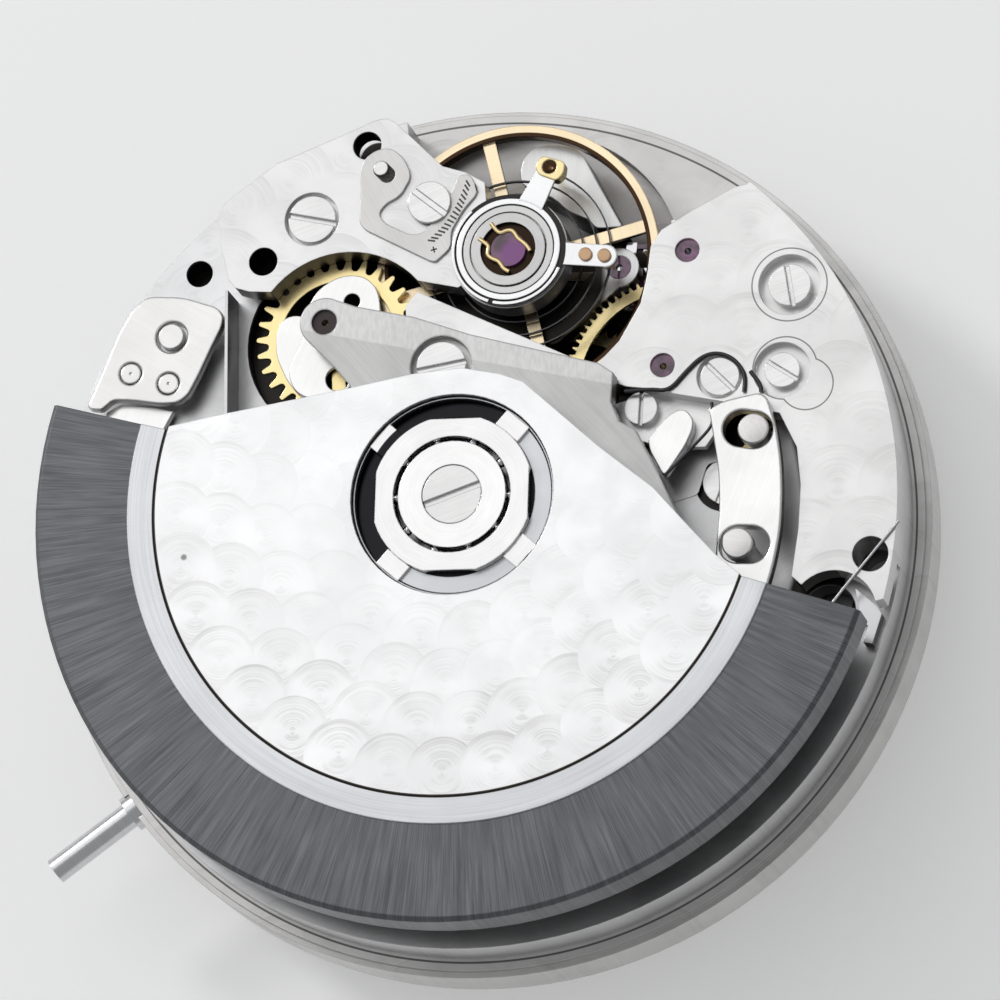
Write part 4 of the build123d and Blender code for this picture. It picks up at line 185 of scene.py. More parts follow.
def wall_mask(tree):
    """1 on upright faces, 0 on level ones."""
    normal = tree.nodes.new("ShaderNodeNewGeometry").outputs["True Normal"]
    upright = calc(tree, "ABSOLUTE", split_xyz(tree, normal)[2])
    return falling(tree, upright, 0.35, 0.6)


def movement_place(tree):
    """Coordinates in millimetres on the movement's own axes, flat and with their height."""
    place = tree.nodes.new("ShaderNodeTexCoord").outputs["Object"]
    place = vector_calc(tree, "MULTIPLY", place, TO_MM)
    return on_plane(tree, place), split_xyz(tree, place)


def hole_distance(tree, flat):
    """How far a place lies from the nearer of the two holes at the balance cock."""
    return calc(tree, "MINIMUM", *[distance_to(tree, flat, hole) for hole in bridge_holes])


def noise(tree, vector, scale, detail=2.0, roughness=0.5):
    node = tree.nodes.new("ShaderNodeTexNoise")
    wire_up(tree, node, {"Vector": vector, "Scale": scale, "Detail": detail, "Roughness": roughness})
    return node.outputs[0]


def new_group(name, inputs, outputs):
    """A shader node group with named inputs and outputs."""
    group = bpy.data.node_groups.new(name, "ShaderNodeTree")
    for label, kind in inputs:
        group.interface.new_socket(label, in_out="INPUT", socket_type=kind)
    for label, kind in outputs:
        group.interface.new_socket(label, in_out="OUTPUT", socket_type=kind)
    return group, group.nodes.new("NodeGroupInput").outputs, group.nodes.new("NodeGroupOutput").inputs


def use_group(tree, group, values):
    node = tree.nodes.new("ShaderNodeGroup")
    node.node_tree = group
    return wire_up(tree, node, values).outputs


VECTOR = "NodeSocketVector"
NUMBER = "NodeSocketFloat"


def make_polar():
    """Radius, angle from straight down, and height."""
    group, given, out = new_group("around_the_axis", [("Vector", VECTOR)], [("Radius", NUMBER), ("Angle", NUMBER)])
    x, y, _ = split_xyz(group, given["Vector"])
    flat = join_xyz(group, x, y, 0.0)
    group.links.new(vector_calc(group, "LENGTH", flat), out["Radius"])
    group.links.new(calc(group, "ARCTAN2", x, times(group, y, -1.0)), out["Angle"])
    return group


def make_brushing():
    """Fine lines that run along Y and change along X."""
    inputs = [("Vector", VECTOR), ("Fineness", NUMBER), ("Length", NUMBER)]
    group, given, out = new_group("brushed_lines", inputs, [("Lines", NUMBER)])
    x, y, z = split_xyz(group, given["Vector"])
    across = times(group, x, given["Fineness"])
    along = calc(group, "DIVIDE", y, given["Length"])
    fine = noise(group, join_xyz(group, across, along, z), 1.0, 3.0, 0.7)
    broad = noise(group, join_xyz(group, times(group, across, 0.22), along, z), 1.0, 2.0, 0.6)
    total = calc(group, "ADD", times(group, fine, 0.65), times(group, broad, 0.35))
    group.links.new(soft_step(group, total, 0.3, 0.7), out["Lines"])
    return group


def make_handling():
    """Faint cloudy patches and small specks, as on a handled metal surface."""
    group, given, out = new_group("handling", [("Vector", VECTOR)], [("Patches", NUMBER), ("Specks", NUMBER)])
    patches = noise(group, given["Vector"], 0.45, 3.0, 0.55)
    specks = noise(group, given["Vector"], 9.0, 2.0, 0.7)
    group.links.new(soft_step(group, patches, 0.35, 0.65), out["Patches"])
    group.links.new(soft_step(group, specks, 0.66, 0.76), out["Specks"])
    return group


SPOT_INPUTS = [("Vector", VECTOR), ("Pitch", NUMBER), ("Row Step", NUMBER), ("Spot Radius", NUMBER),
               ("First Row", NUMBER)]
SPOT_OUTPUTS = [("Reach", NUMBER), ("Tilt", NUMBER), ("Tone", NUMBER)]


def lay_spot(group, flat, centre, radius, tone, under):
    """One ground spot over those laid before it. A spot is kept as its reach, tilt and tone."""
    offset = vector_calc(group, "SUBTRACT", flat, centre)
    distance = vector_calc(group, "LENGTH", offset)
    sides = split_xyz(group, offset)
    tilt = calc(group, "DIVIDE", sides[1], calc(group, "ADD", distance, 0.001))
    spot = join_xyz(group, calc(group, "DIVIDE", distance, radius), tilt, tone)
    return blend(group, calc(group, "LESS_THAN", distance, radius), under, spot, "VECTOR")


def spot_tone(group, row, column):
    """A number from 0 to 1 that differs from spot to spot."""
    white = group.nodes.new("ShaderNodeTexWhiteNoise")
    white.noise_dimensions = "2D"
    group.links.new(join_xyz(group, row, column), white.inputs["Vector"])
    return white.outputs["Value"]


def hand_out(group, spots, out):
    """Gives the reach, tilt and tone of the uppermost spot to the group's outputs."""
    for name, value in zip(("Reach", "Tilt", "Tone"), split_xyz(group, spots)):
        group.links.new(value, out[name])


def make_spots_in_rings():
    """Overlapping ground spots in rows round the axis, the outer rows and the later spots on top."""
    group, given, out = new_group("graining_in_rings", SPOT_INPUTS, SPOT_OUTPUTS)
    x, y, _ = split_xyz(group, given["Vector"])
    flat = join_xyz(group, x, y)
    radius = vector_calc(group, "LENGTH", flat)
    angle = calc(group, "ARCTAN2", x, times(group, y, -1.0))
    row_here = calc(group, "DIVIDE", calc(group, "SUBTRACT", radius, given["First Row"]), given["Row Step"])
    nearest_row = calc(group, "MINIMUM", calc(group, "ROUND", row_here), 1.0)
    spots = join_xyz(group, 1.0, 0.0, 0.5)
    for row_offset in (-1, 0, 1):
        row = calc(group, "MINIMUM", calc(group, "ADD", nearest_row, float(row_offset)), 0.0)
        along = calc(group, "MULTIPLY_ADD", row, given["Row Step"], given["First Row"])
        row_radius = most(group, along, 0.5)
        count = calc(group, "ROUND", calc(group, "DIVIDE", times(group, row_radius, math.tau), given["Pitch"]))
        turn = calc(group, "DIVIDE", math.tau, count)
        stagger = times(group, calc(group, "PINGPONG", row, 1.0), 0.5)
        here = calc(group, "ROUND", calc(group, "SUBTRACT", calc(group, "DIVIDE", angle, turn), stagger))
        for column_offset in (-1, 0, 1):
            column = calc(group, "ADD", here, float(column_offset))
            spot_angle = times(group, calc(group, "ADD", column, stagger), turn)
            sine = times(group, calc(group, "SINE", spot_angle), row_radius)
            cosine = times(group, calc(group, "COSINE", spot_angle), row_radius)
            centre = join_xyz(group, sine, times(group, cosine, -1.0))
            tone = spot_tone(group, row, column)
            spots = lay_spot(group, flat, centre, given["Spot Radius"], tone, spots)
    hand_out(group, spots, out)
    return group


def make_spots_in_lines():
    """Overlapping ground spots in straight rows, each row over the one above it."""
    group, given, out = new_group("graining_in_lines", SPOT_INPUTS, SPOT_OUTPUTS)
    x, y, _ = split_xyz(group, given["Vector"])
    flat = join_xyz(group, x, y)
    row_here = calc(group, "ROUND", calc(group, "DIVIDE", calc(group, "SUBTRACT", y, given["First Row"]),
                                         given["Row Step"]))
    spots = join_xyz(group, 1.0, 0.0, 0.5)
    for row_offset in (1, 0, -1):
        row = calc(group, "ADD", row_here, float(row_offset))
        stagger = times(group, calc(group, "PINGPONG", row, 1.0), 0.5)
        here = calc(group, "ROUND", calc(group, "SUBTRACT", calc(group, "DIVIDE", x, given["Pitch"]), stagger))
        for column_offset in (-1, 0, 1):
            column = calc(group, "ADD", here, float(column_offset))
            along = times(group, calc(group, "ADD", column, stagger), given["Pitch"])
            across = calc(group, "MULTIPLY_ADD", row, given["Row Step"], given["First Row"])
            tone = spot_tone(group, row, column)
            spots = lay_spot(group, flat, join_xyz(group, along, across), given["Spot Radius"], tone, spots)
    hand_out(group, spots, out)
    return group


polar_group = make_polar()
brushing_group = make_brushing()
handling_group = make_handling()
rings_group = make_spots_in_rings()
rows_group = make_spots_in_lines()


# Finishes

Finish = namedtuple("Finish", "material tree shader place tint")


def start_material(name, centre=(0.0, 0.0), turn=0.0):
    """A material with its coordinates in millimetres about a centre, turned by an angle in degrees."""
    material = bpy.data.materials.new(name)
    material.use_nodes = True
    tree = material.node_tree
    place = tree.nodes.new("ShaderNodeTexCoord")
    to_mm = tree.nodes.new("ShaderNodeMapping")
    angle = math.radians(turn)
    shift = Matrix.Rotation(angle, 2) @ Vector((-centre[0], -centre[1]))
    wire_up(tree, to_mm, {
        "Vector": place.outputs["Object"],
        "Scale": TO_MM,
        "Rotation": (0.0, 0.0, angle),
        "Location": (shift.x, shift.y, 0.0),
    })
    return material, tree, tree.nodes["Principled BSDF"], to_mm.outputs[0]


def rounded_edges(tree, width):
    """The normal of edges rounded by this width in millimetres, and a mask of where they are."""
    bevel = tree.nodes.new("ShaderNodeBevel")
    bevel.samples = 4
    bevel.inputs["Radius"].default_value = width * MM
    flat = tree.nodes.new("ShaderNodeNewGeometry")
    facing = vector_calc(tree, "DOT_PRODUCT", bevel.outputs[0], flat.outputs["Normal"])
    return bevel.outputs[0], soft_step(tree, facing, 0.995, 0.9)


def metal(name, colour, roughness, lines="", fineness=9.0, depth=0.3, shade=0.12, turn=0.0, centre=(0.0, 0.0),
          spots="", spot_sizes=(1.8, 1.5, 1.2, 9.45), edge=0.04):
    """A worked metal: brushed straight, round or radially, or ground in spots with painted shade, with rounded
    edges given a painted highlight.
    """
    material, tree, shader, place = start_material(name, centre, turn)
    patches, specks = use_group(tree, handling_group, {"Vector": place})
    tint = blend(tree, times(tree, patches, 0.5), (*colour, 1.0), (*[c * 0.93 for c in colour], 1.0))
    height = times(tree, specks, -0.3)
    rough = calc(tree, "MULTIPLY_ADD", patches, 0.06, roughness - 0.03)
    if lines:
        pattern = place
        if lines != "straight":
            radius, angle = use_group(tree, polar_group, {"Vector": place})
            if lines == "round":
                pattern = join_xyz(tree, radius, times(tree, angle, 4.0))
            else:
                pattern = join_xyz(tree, times(tree, angle, 10.0), radius)
        strokes = use_group(tree, brushing_group, {"Vector": pattern, "Fineness": fineness, "Length": 3.0})[0]
        darker = (*[1.0 - shade] * 3, 1.0)
        tint = blend(tree, strokes, tint, blend(tree, 1.0, tint, darker, mode="MULTIPLY"))
        height = calc(tree, "MULTIPLY_ADD", strokes, depth, height)
    if spots:
        group = rings_group if spots == "rings" else rows_group
        pitch, row_step, spot_radius, first_row = spot_sizes
        reach, tilt, tone = use_group(tree, group, {"Vector": place, "Pitch": pitch, "Row Step": row_step,
                                                    "Spot Radius": spot_radius, "First Row": first_row})
        stretched = join_xyz(tree, times(tree, reach, spot_radius * fineness), times(tree, tone, 90.0),
                             times(tree, tilt, 0.8))
        grooves = soft_step(tree, noise(tree, stretched, 1.0, 3.0, 0.75), 0.35, 0.65)
        # Painted shade on the spots: grain lines show dark only in a wedge above and below each centre, and each
        # rim darkens on its upper side; random tone and patches vary it.
        wedge = soft_step(tree, calc(tree, "ABSOLUTE", tilt), 0.25, 0.95)
        upper = soft_step(tree, tilt, -0.2, 0.8)
        rim = soft_step(tree, reach, 0.8, 1.0)
        worn = soft_step(tree, noise(tree, place, 0.55, 2.0, 0.6), 0.35, 0.62, 0.35, 1.0)
        dark = times(tree, grooves, wedge, shade)
        dark = calc(tree, "ADD", dark, times(tree, rim, upper, shade * 0.75))
        dark = times(tree, dark, worn)
        # On the rotor this painted shade grows outwards and is stronger towards the bottom.
        if spots == "rings":
            reach_out, round_it = use_group(tree, polar_group, {"Vector": place})
            far = soft_step(tree, reach_out, 4.6, 9.2, 0.4, 1.15)
            low_side = soft_step(tree, calc(tree, "ABSOLUTE", round_it), 0.7, 1.4, 1.0, 0.55)
            dark = times(tree, dark, far, low_side)
        dark = calc(tree, "ADD", dark, times(tree, tone, shade * 0.3))
        tint = blend(tree, dark, tint, (0.25, 0.24, 0.23, 1.0))
        height = calc(tree, "MULTIPLY_ADD", grooves, depth, height)
        height = calc(tree, "MULTIPLY_ADD", rim, -depth, height)
    edge_normal, edge_highlight = rounded_edges(tree, edge)
    # Painted highlight: the rounded edges are made lighter in colour.
    tint = blend(tree, times(tree, edge_highlight, 0.35), tint, (*[min(1.0, c * 1.25 + 0.04) for c in colour], 1.0))
    bump = tree.nodes.new("ShaderNodeBump")
    wire_up(tree, bump, {"Strength": 0.6, "Distance": 0.004 * MM, "Height": height, "Normal": edge_normal})
    wire_up(tree, shader, {"Base Color": tint, "Roughness": rough, "Metallic": 1.0, "Normal": bump.outputs[0]})
    return Finish(material, tree, shader, place, tint)


def dress(material, *names):
    """Gives CAD nodes this finish in all their material slots."""
    for name in names:
        mesh = nodes[name].data
        if not mesh.materials:
            mesh.materials.append(material)
        for slot in range(len(mesh.materials)):
            mesh.materials[slot] = material


def relink_colour(tree, shader, colour):
    for link in list(shader.inputs["Base Color"].links):
        tree.links.remove(link)
    tree.links.new(colour, shader.inputs["Base Color"])


def paint_shade(finish, mask, colour=PAINTED_SHADE):
    """Paints shade on a metal: blackens it where a mask says so, as where little light gets in."""
    relink_colour(finish.tree, finish.shader, blend(finish.tree, mask, finish.tint, colour))
    return finish.material


# Rotor plate: ground in spots along its edge, with the small dent and the groove at the ring
plate_metal, tree, shader, place, tint = metal(
    "rotor_plate_ground", (0.90, 0.90, 0.905), 0.32, spots="rings", fineness=17.0, depth=0.22, shade=0.25)
radius = use_group(tree, polar_group, {"Vector": place})[0]
groove = near_line(tree, radius, ring_inner - 0.02, 0.045)
dent = vector_calc(tree, "DISTANCE", place, (-9.1, -1.9, rotor_top))
dent = falling(tree, dent, 0.06, 0.14)
marks = most(tree, groove, times(tree, dent, 0.7))
relink_colour(tree, shader, blend(tree, marks, tint, CUT_LINE_AND_SHADE))
dress(plate_metal, "rotor_plate")

# Heavy segment: a round brushed ring inside, dark and radially brushed outside it
segment_metal, tree, shader, place, tint = metal("heavy_segment_brushed", (0.185, 0.19, 0.20), 0.34, lines="radial",
                                                 fineness=30.0, depth=0.5, shade=0.5, edge=0.06)
radius, angle = use_group(tree, polar_group, {"Vector": place})
strokes = use_group(tree, brushing_group, {
    "Vector": join_xyz(tree, radius, times(tree, angle, 4.0)), "Fineness": 22.0, "Length": 3.0})[0]
ring_tint = blend(tree, strokes, (0.74, 0.75, 0.77, 1.0), (0.58, 0.59, 0.61, 1.0))
groove = near_line(tree, radius, ring_inner + 0.02, 0.045)
ring_tint = blend(tree, groove, ring_tint, (0.05, 0.045, 0.04, 1.0))
inside = falling(tree, radius, ring_outer - 0.02, ring_outer + 0.02)
relink_colour(tree, shader, blend(tree, inside, tint, ring_tint))
dress(segment_metal, "heavy_segment")

# Bearing: polished race and inner ring; the race's lower part, and the upper-left half of its inner band, are
# painted black as shade
race_metal, tree, shader, place, tint = metal(
    "race_polished", (0.84, 0.83, 0.83), 0.2, lines="round", fineness=20.0, depth=0.12, shade=0.08, edge=0.05)
radius = use_group(tree, polar_group, {"Vector": place})[0]
low = falling(tree, split_xyz(tree, place)[2], 7.55, 7.6)
inner_part = times(tree, soft_step(tree, radius, 2.7, 2.74), falling(tree, radius, 3.04, 3.08))
shaded_side = soft_step(tree, vector_calc(tree, "DOT_PRODUCT", place, (-0.7, 0.7, 0.0)), 1.6, 1.8)
low = most(tree, low, times(tree, inner_part, shaded_side))
relink_colour(tree, shader, blend(tree, low, tint, (0.02, 0.02, 0.022, 1.0)))
dress(race_metal, "bearing_outer_race")
inner_metal = metal("inner_ring_polished", (0.86, 0.855, 0.85), 0.18, lines="round", fineness=24.0, depth=0.1,
                    shade=0.08)[0]
dress(inner_metal, "bearing_inner_ring")
ball_metal = metal("ball_steel", (0.7, 0.7, 0.72), 0.1, edge=0.02)[0]
dress(ball_metal, "bearing_balls", "reverser_input", "reverser_output", "escape_wheel", "pallet_fork",
      "balance_staff")

# Bridges
cock_metal = metal("cock_ground", (0.765, 0.76, 0.76), 0.33, spots="lines", spot_sizes=(2.2, 1.9, 1.5, 0.3),
                   fineness=12.0, depth=0.14, shade=0.13, turn=35.0)
tree = cock_metal.tree
# Painted shade: the cock is blackened in the walls of its two holes and on the wall under its arc.
flat, (_, _, z) = movement_place(tree)
near_hole = hole_distance(tree, flat)
shaded_bores = times(tree, falling(tree, near_hole, 0.52, 0.56), falling(tree, z, 5.8, 5.9))
arc_distance = distance_to(tree, flat, (-4.39, 5.91))
shaded_arc_wall = times(tree, wall_mask(tree), soft_step(tree, arc_distance, 3.33, 3.4, 0.85, 0.0))
dress(paint_shade(cock_metal, most(tree, shaded_bores, shaded_arc_wall)), "balance_cock")
calibre_parts = metal("calibre_bridge_ground", (0.74, 0.74, 0.745), 0.36, spots="lines",
                      spot_sizes=(1.9, 1.6, 1.25, 0.1), fineness=11.0, depth=0.12, shade=0.11, turn=-20.0)
tree = calibre_parts.tree
# Painted shade: the calibre bridge is blackened deep inside the movement, round the two holes under the cock, and
# in a band beside the hammer lever that fades out towards the bottom.
deep = between(tree, split_xyz(tree, calibre_parts.place)[2], 2.75, 4.2)
inside = falling(tree, reach_of(tree, calibre_parts.place), 14.1, 14.2)
flat, (x, y, z) = movement_place(tree)
near_hole = hole_distance(tree, flat)
in_hole = falling(tree, near_hole, 0.6, 0.65)
beside = soft_step(tree, distance_to(tree, flat, (1.15, -0.1)), 9.85, 10.05)
beside = times(tree, beside, between(tree, x, 9.0, 12.6), soft_step(tree, y, -4.8, -3.4))
beside = times(tree, beside, falling(tree, y, 3.4, 3.45), between(tree, z, 4.3, 4.6))
shadows = most(tree, times(tree, deep, inside), in_hole, beside)
calibre_ground = paint_shade(calibre_parts, shadows)
dress(calibre_ground, "calibre_bridge")
side_metal, tree, shader, place, tint = metal(
    "side_bridge_ground", (0.80, 0.795, 0.79), 0.33, spots="lines", spot_sizes=(2.1, 1.8, 1.45, 0.4),
    fineness=12.0, depth=0.15, shade=0.14)
x, y, z = split_xyz(tree, place)
flat = join_xyz(tree, x, y)
seat_ring = near_line(tree, distance_to(tree, flat, side_screw), 1.27, 0.03)
first = calc(tree, "SUBTRACT", distance_to(tree, flat, (10.75, 4.55)), 1.08)
second = calc(tree, "SUBTRACT", distance_to(tree, flat, (11.48, 3.98)), 0.9)
inlay = near_line(tree, calc(tree, "MINIMUM", first, second), 0.0, 0.03)
level = soft_step(tree, z, bridge_top - 0.05, bridge_top - 0.02)
cut_lines_and_shade = times(tree, most(tree, seat_ring, inlay), level)
# Painted shade: the bridge's walls beside the hammer lever are darkened with the colour of the cut lines.
shaded_walls = times(tree, wall_mask(tree), between(tree, x, 9.5, 12.6), between(tree, y, -5.0, 3.6))
shaded_walls = times(tree, shaded_walls, 0.85)
cut_lines_and_shade = most(tree, times(tree, cut_lines_and_shade, 0.75), shaded_walls)
relink_colour(tree, shader, blend(tree, cut_lines_and_shade, tint, CUT_LINE_AND_SHADE))
dress(side_metal, "chronograph_bridge")
arm_metal, tree, shader, place, tint = metal(
    "automatic_bridge_brushed", (0.55, 0.545, 0.54), 0.34, lines="straight", fineness=26.0, depth=0.35, shade=0.16,
    turn=-42.0, edge=0.09)
# Along its upper edge the bridge has a broad facet band with its own strokes, painted lighter than the rest as a
# highlight
facet_way = Vector((0.9778, -0.2095))
object_place = tree.nodes.new("ShaderNodeTexCoord").outputs["Object"]
object_place = vector_calc(tree, "MULTIPLY", object_place, TO_MM)
above = vector_calc(tree, "DOT_PRODUCT", object_place, (-facet_way.y, facet_way.x, 0.0))
facet = times(tree, soft_step(tree, above, 4.88, 4.96),
              soft_step(tree, split_xyz(tree, object_place)[2], 6.7, 6.74))
strokes = noise(tree, vector_calc(tree, "MULTIPLY", object_place, (9.0, 3.0, 1.0)), 1.0)
strokes = soft_step(tree, strokes, 0.3, 0.7)
facet_highlight_tint = blend(tree, strokes, (0.64, 0.635, 0.63, 1.0), (0.57, 0.565, 0.56, 1.0))
relink_colour(tree, shader, blend(tree, facet, tint, facet_highlight_tint))
dress(arm_metal, "automatic_bridge")
plate_parts = metal("main_plate_nickel", (0.66, 0.65, 0.64), 0.4, spots="lines", spot_sizes=(1.9, 1.6, 1.25, 0.2),
                    fineness=9.0, depth=0.14, shade=0.14)
tree = plate_parts.tree
# Painted shade: the plate is blackened deep inside the movement, less on its open side, and in a dark line round
# its flange.
_, y, z = split_xyz(tree, plate_parts.place)
reach = reach_of(tree, plate_parts.place)
deep = times(tree, between(tree, z, 0.6, 2.6), falling(tree, reach, 14.0, 14.2))
open_side = soft_step(tree, y, 9.9, 11.2, 1.0, 0.35)
flange_line = times(tree, near_line(tree, reach, 14.72, 0.045), soft_step(tree, z, 2.2, 2.5))
shadows = most(tree, times(tree, deep, open_side), times(tree, flange_line, 0.8))
dress(paint_shade(plate_parts, shadows), "mainplate")
bridge_parts = metal("pallet_bridge_nickel", (0.72, 0.715, 0.71), 0.34, lines="straight", fineness=14.0, depth=0.15,
                     shade=0.1)
tree = bridge_parts.tree
x, y, z = split_xyz(tree, bridge_parts.place)
# Painted shade: the bridge is blackened below 3.9 mm, and left of x 4 mm where it lies below y 9.7 mm.
in_shade = most(tree, falling(tree, x, 4.0, 4.3), falling(tree, z, 3.6, 4.0))
in_shade = times(tree, in_shade, falling(tree, y, 9.7, 10.2))
low_part = falling(tree, z, 3.9, 4.06)
pallet_nickel = paint_shade(bridge_parts, most(tree, in_shade, low_part))
dress(pallet_nickel, "pallet_bridge")

# Steel parts
lever_steel = metal("lever_polished", (0.87, 0.863, 0.855), 0.24, lines="straight", fineness=22.0, depth=0.08,
                    shade=0.05, turn=20.0, edge=0.05)[0]
dress(lever_steel, "second_lever", "hammer_lever", "finger_lever", "counter_cam")
operating_steel = metal("operating_polished", (0.79, 0.78, 0.77), 0.28, lines="straight", fineness=24.0, depth=0.1,
                        shade=0.06, turn=-60.0, edge=0.06)[0]
dress(operating_steel, "operating_lever")
screw_steel = metal("screw_polished", (0.76, 0.755, 0.75), 0.24, lines="straight", fineness=16.0, depth=0.12,
                    shade=0.1, turn=70.0, edge=0.05)[0]
dress(screw_steel, "bridge_screws", "rotor_screw", "ratchet_screw")
grey_steel = metal("regulator_satin", (0.66, 0.65, 0.64), 0.34, lines="straight", fineness=14.0, depth=0.2,
                   shade=0.1, turn=-30.0)[0]
dress(grey_steel, "regulator_plate", "click", "setting_lever")
recess_parts = metal("shock_ring_satin", (0.60, 0.595, 0.59), 0.32, lines="round", fineness=14.0, depth=0.15,
                     shade=0.1, centre=balance_axis)
tree = recess_parts.tree
# Painted shade: the floor of the recess is blackened, in a dark brown.
recess = falling(tree, split_xyz(tree, recess_parts.place)[2], 6.18, 6.22)
dress(paint_shade(recess_parts, recess, (0.03, 0.02, 0.014, 1.0)), "shock_setting")
index_steel = metal("index_polished", (0.84, 0.84, 0.845), 0.22, lines="round", fineness=20.0, depth=0.08,
                    shade=0.06, centre=balance_axis, edge=0.04)[0]
dress(index_steel, "regulator_index")
ring_parts = metal("stud_holder_polished", (0.84, 0.84, 0.845), 0.22, lines="round", fineness=20.0, depth=0.08,
                   shade=0.06, centre=balance_axis, edge=0.03)
tree = ring_parts.tree
z = split_xyz(tree, ring_parts.place)[2]
reach = reach_of(tree, ring_parts.place)
# Painted shade: the floors of the grooves between the bands are blackened.
shaded_groove_floor = falling(tree, z, 6.15, 6.17)
satin_band = falling(tree, reach, 1.54, 1.56)
ring_tint = blend(tree, satin_band, ring_parts.tint, (0.56, 0.555, 0.55, 1.0))
relink_colour(tree, ring_parts.shader, blend(tree, shaded_groove_floor, ring_tint, PAINTED_SHADE))
ring_steel = ring_parts.material
# Painted shade: the upright faces of the flat springs are blackened.
blade_parts = metal("spring_blade", (0.62, 0.62, 0.63), 0.25, edge=0.02)
dress(paint_shade(blade_parts, wall_mask(blade_parts.tree)), "flat_springs")
spring_steel = metal("hairspring_steel", (0.08, 0.08, 0.085), 0.25, edge=0.02)[0]
dress(spring_steel, "hairspring", "mainspring")
wire_steel = metal("spring_wire_dark", (0.07, 0.07, 0.073), 0.3, edge=0.02)[0]
dress(wire_steel, "wire_springs")
works_steel = metal("keyless_steel", (0.7, 0.7, 0.71), 0.28, lines="round", fineness=12.0, depth=0.15, shade=0.1)[0]
dress(works_steel, "winding_stem", "winding_pinion", "sliding_pinion", "coupling_pinion", "cannon_pinion",
      "barrel_arbor", "reduction_wheel", "chronograph_runner")
winding_steel = metal("winding_wheels", (0.75, 0.75, 0.76), 0.26, lines="round", fineness=14.0, depth=0.15,
                      shade=0.1, centre=barrel_axis)[0]
dress(winding_steel, "ratchet_wheel", "crown_wheel", "transfer_wheel")
plate_steel = metal("calendar_steel", (0.72, 0.72, 0.72), 0.36, lines="round", fineness=10.0, depth=0.2,
                    shade=0.1)[0]
dress(plate_steel, "calendar_plate")

# Gold and brass parts
gold = metal("train_gold", (0.95, 0.79, 0.42), 0.25, lines="round", fineness=14.0, depth=0.12, shade=0.07,
             edge=0.03)[0]
dress(gold, "fourth_wheel", "third_wheel", "centre_wheel")
counter_gold = metal("counter_gold", (0.95, 0.78, 0.40), 0.24, lines="round", fineness=14.0, depth=0.12, shade=0.06,
                     centre=counter_axis, edge=0.04)[0]
dress(counter_gold, "minute_counter_wheel")
balance_parts = metal("balance_pale_gold", (0.92, 0.76, 0.52), 0.24, lines="round", fineness=16.0, depth=0.12,
                      shade=0.08, centre=balance_axis, edge=0.05)
tree = balance_parts.tree
z = split_xyz(tree, balance_parts.place)[2]
reach = reach_of(tree, balance_parts.place)
# Painted shade: the inner step and the inner wall of the rim are darkened.
inner_step = times(tree, between(tree, reach, 4.4, 4.63, 0.02), soft_step(tree, z, 4.62, 4.66))
inner_wall = times(tree, wall_mask(tree), soft_step(tree, reach, 4.6, 4.7, 0.9, 0.0))
shaded = most(tree, inner_step, inner_wall)
dress(paint_shade(balance_parts, shaded, (0.05, 0.028, 0.016, 1.0)), "balance_wheel")
pin_gold = metal("pin_gold", (0.50, 0.33, 0.20), 0.3, edge=0.08)[0]
dress(pin_gold, "index_pins")
clamp_gold = metal("clamp_gold", (0.92, 0.77, 0.42), 0.24, lines="straight", fineness=12.0, depth=0.1, shade=0.06,
                   turn=-23.0, edge=0.06)[0]
dress(clamp_gold, "stud_clamp")
brass = metal("barrel_brass", (0.82, 0.64, 0.33), 0.32, lines="round", fineness=10.0, depth=0.2, shade=0.1,
              centre=barrel_axis)[0]
dress(brass, "barrel_drum", "barrel_cover", "hour_wheel", "minute_wheel")


def jewel_material(name, deep, bright):
    """Polished ruby: cloudy and deep, vivid under the lyre spring, with a hard gloss; blackened as painted shade
    where it sits sunk at the counter's axis.
    """
    material, tree, shader, place = start_material(name)
    cloud = noise(tree, place, 2.2, 2.0, 0.5)
    amount = soft_step(tree, cloud, 0.35, 0.65)
    colour = blend(tree, amount, (*deep, 1.0), (*bright, 1.0))
    flat = on_plane(tree, place)
    # Painted shade: the jewel sunk at the counter's axis is made near black.
    sunk_in_shade = falling(tree, distance_to(tree, flat, counter_axis), 0.5, 0.6)
    colour = blend(tree, sunk_in_shade, colour, (0.03, 0.012, 0.015, 1.0))
    cap_jewel = (balance_axis[0] + 0.2, balance_axis[1] - 0.15)
    vivid = falling(tree, distance_to(tree, flat, cap_jewel), 0.3, 0.6)
    colour = blend(tree, vivid, colour, (0.22, 0.02, 0.24, 1.0))
    wire_up(tree, shader, {
        "Base Color": colour, "Roughness": soft_step(tree, sunk_in_shade, 0.4, 0.6, 0.07, 0.4),
        "Coat Weight": calc(tree, "SUBTRACT", 1.0, sunk_in_shade)})
    shader.inputs["Coat Roughness"].default_value = 0.03
    return material


ruby = jewel_material("jewel_ruby", (0.05, 0.008, 0.035), (0.24, 0.08, 0.20))
dress(ruby, "jewels", "pallet_stones")

# Date ring: white enamel with a faint satin
enamel, tree, shader, place = start_material("date_ring_white")
patches, specks = use_group(tree, handling_group, {"Vector": place})
wire_up(tree, shader, {
    "Base Color": blend(tree, patches, (0.86, 0.86, 0.84, 1.0), (0.80, 0.80, 0.78, 1.0)),
    "Roughness": calc(tree, "MULTIPLY_ADD", specks, 0.1, 0.4)})
dress(enamel, "date_ring")


# Small parts

def apart():
    """Leaves object mode clean with nothing selected."""
    if bpy.context.object and bpy.context.object.mode != "OBJECT":
        bpy.ops.object.mode_set(mode="OBJECT")
    bpy.ops.object.select_all(action="DESELECT")


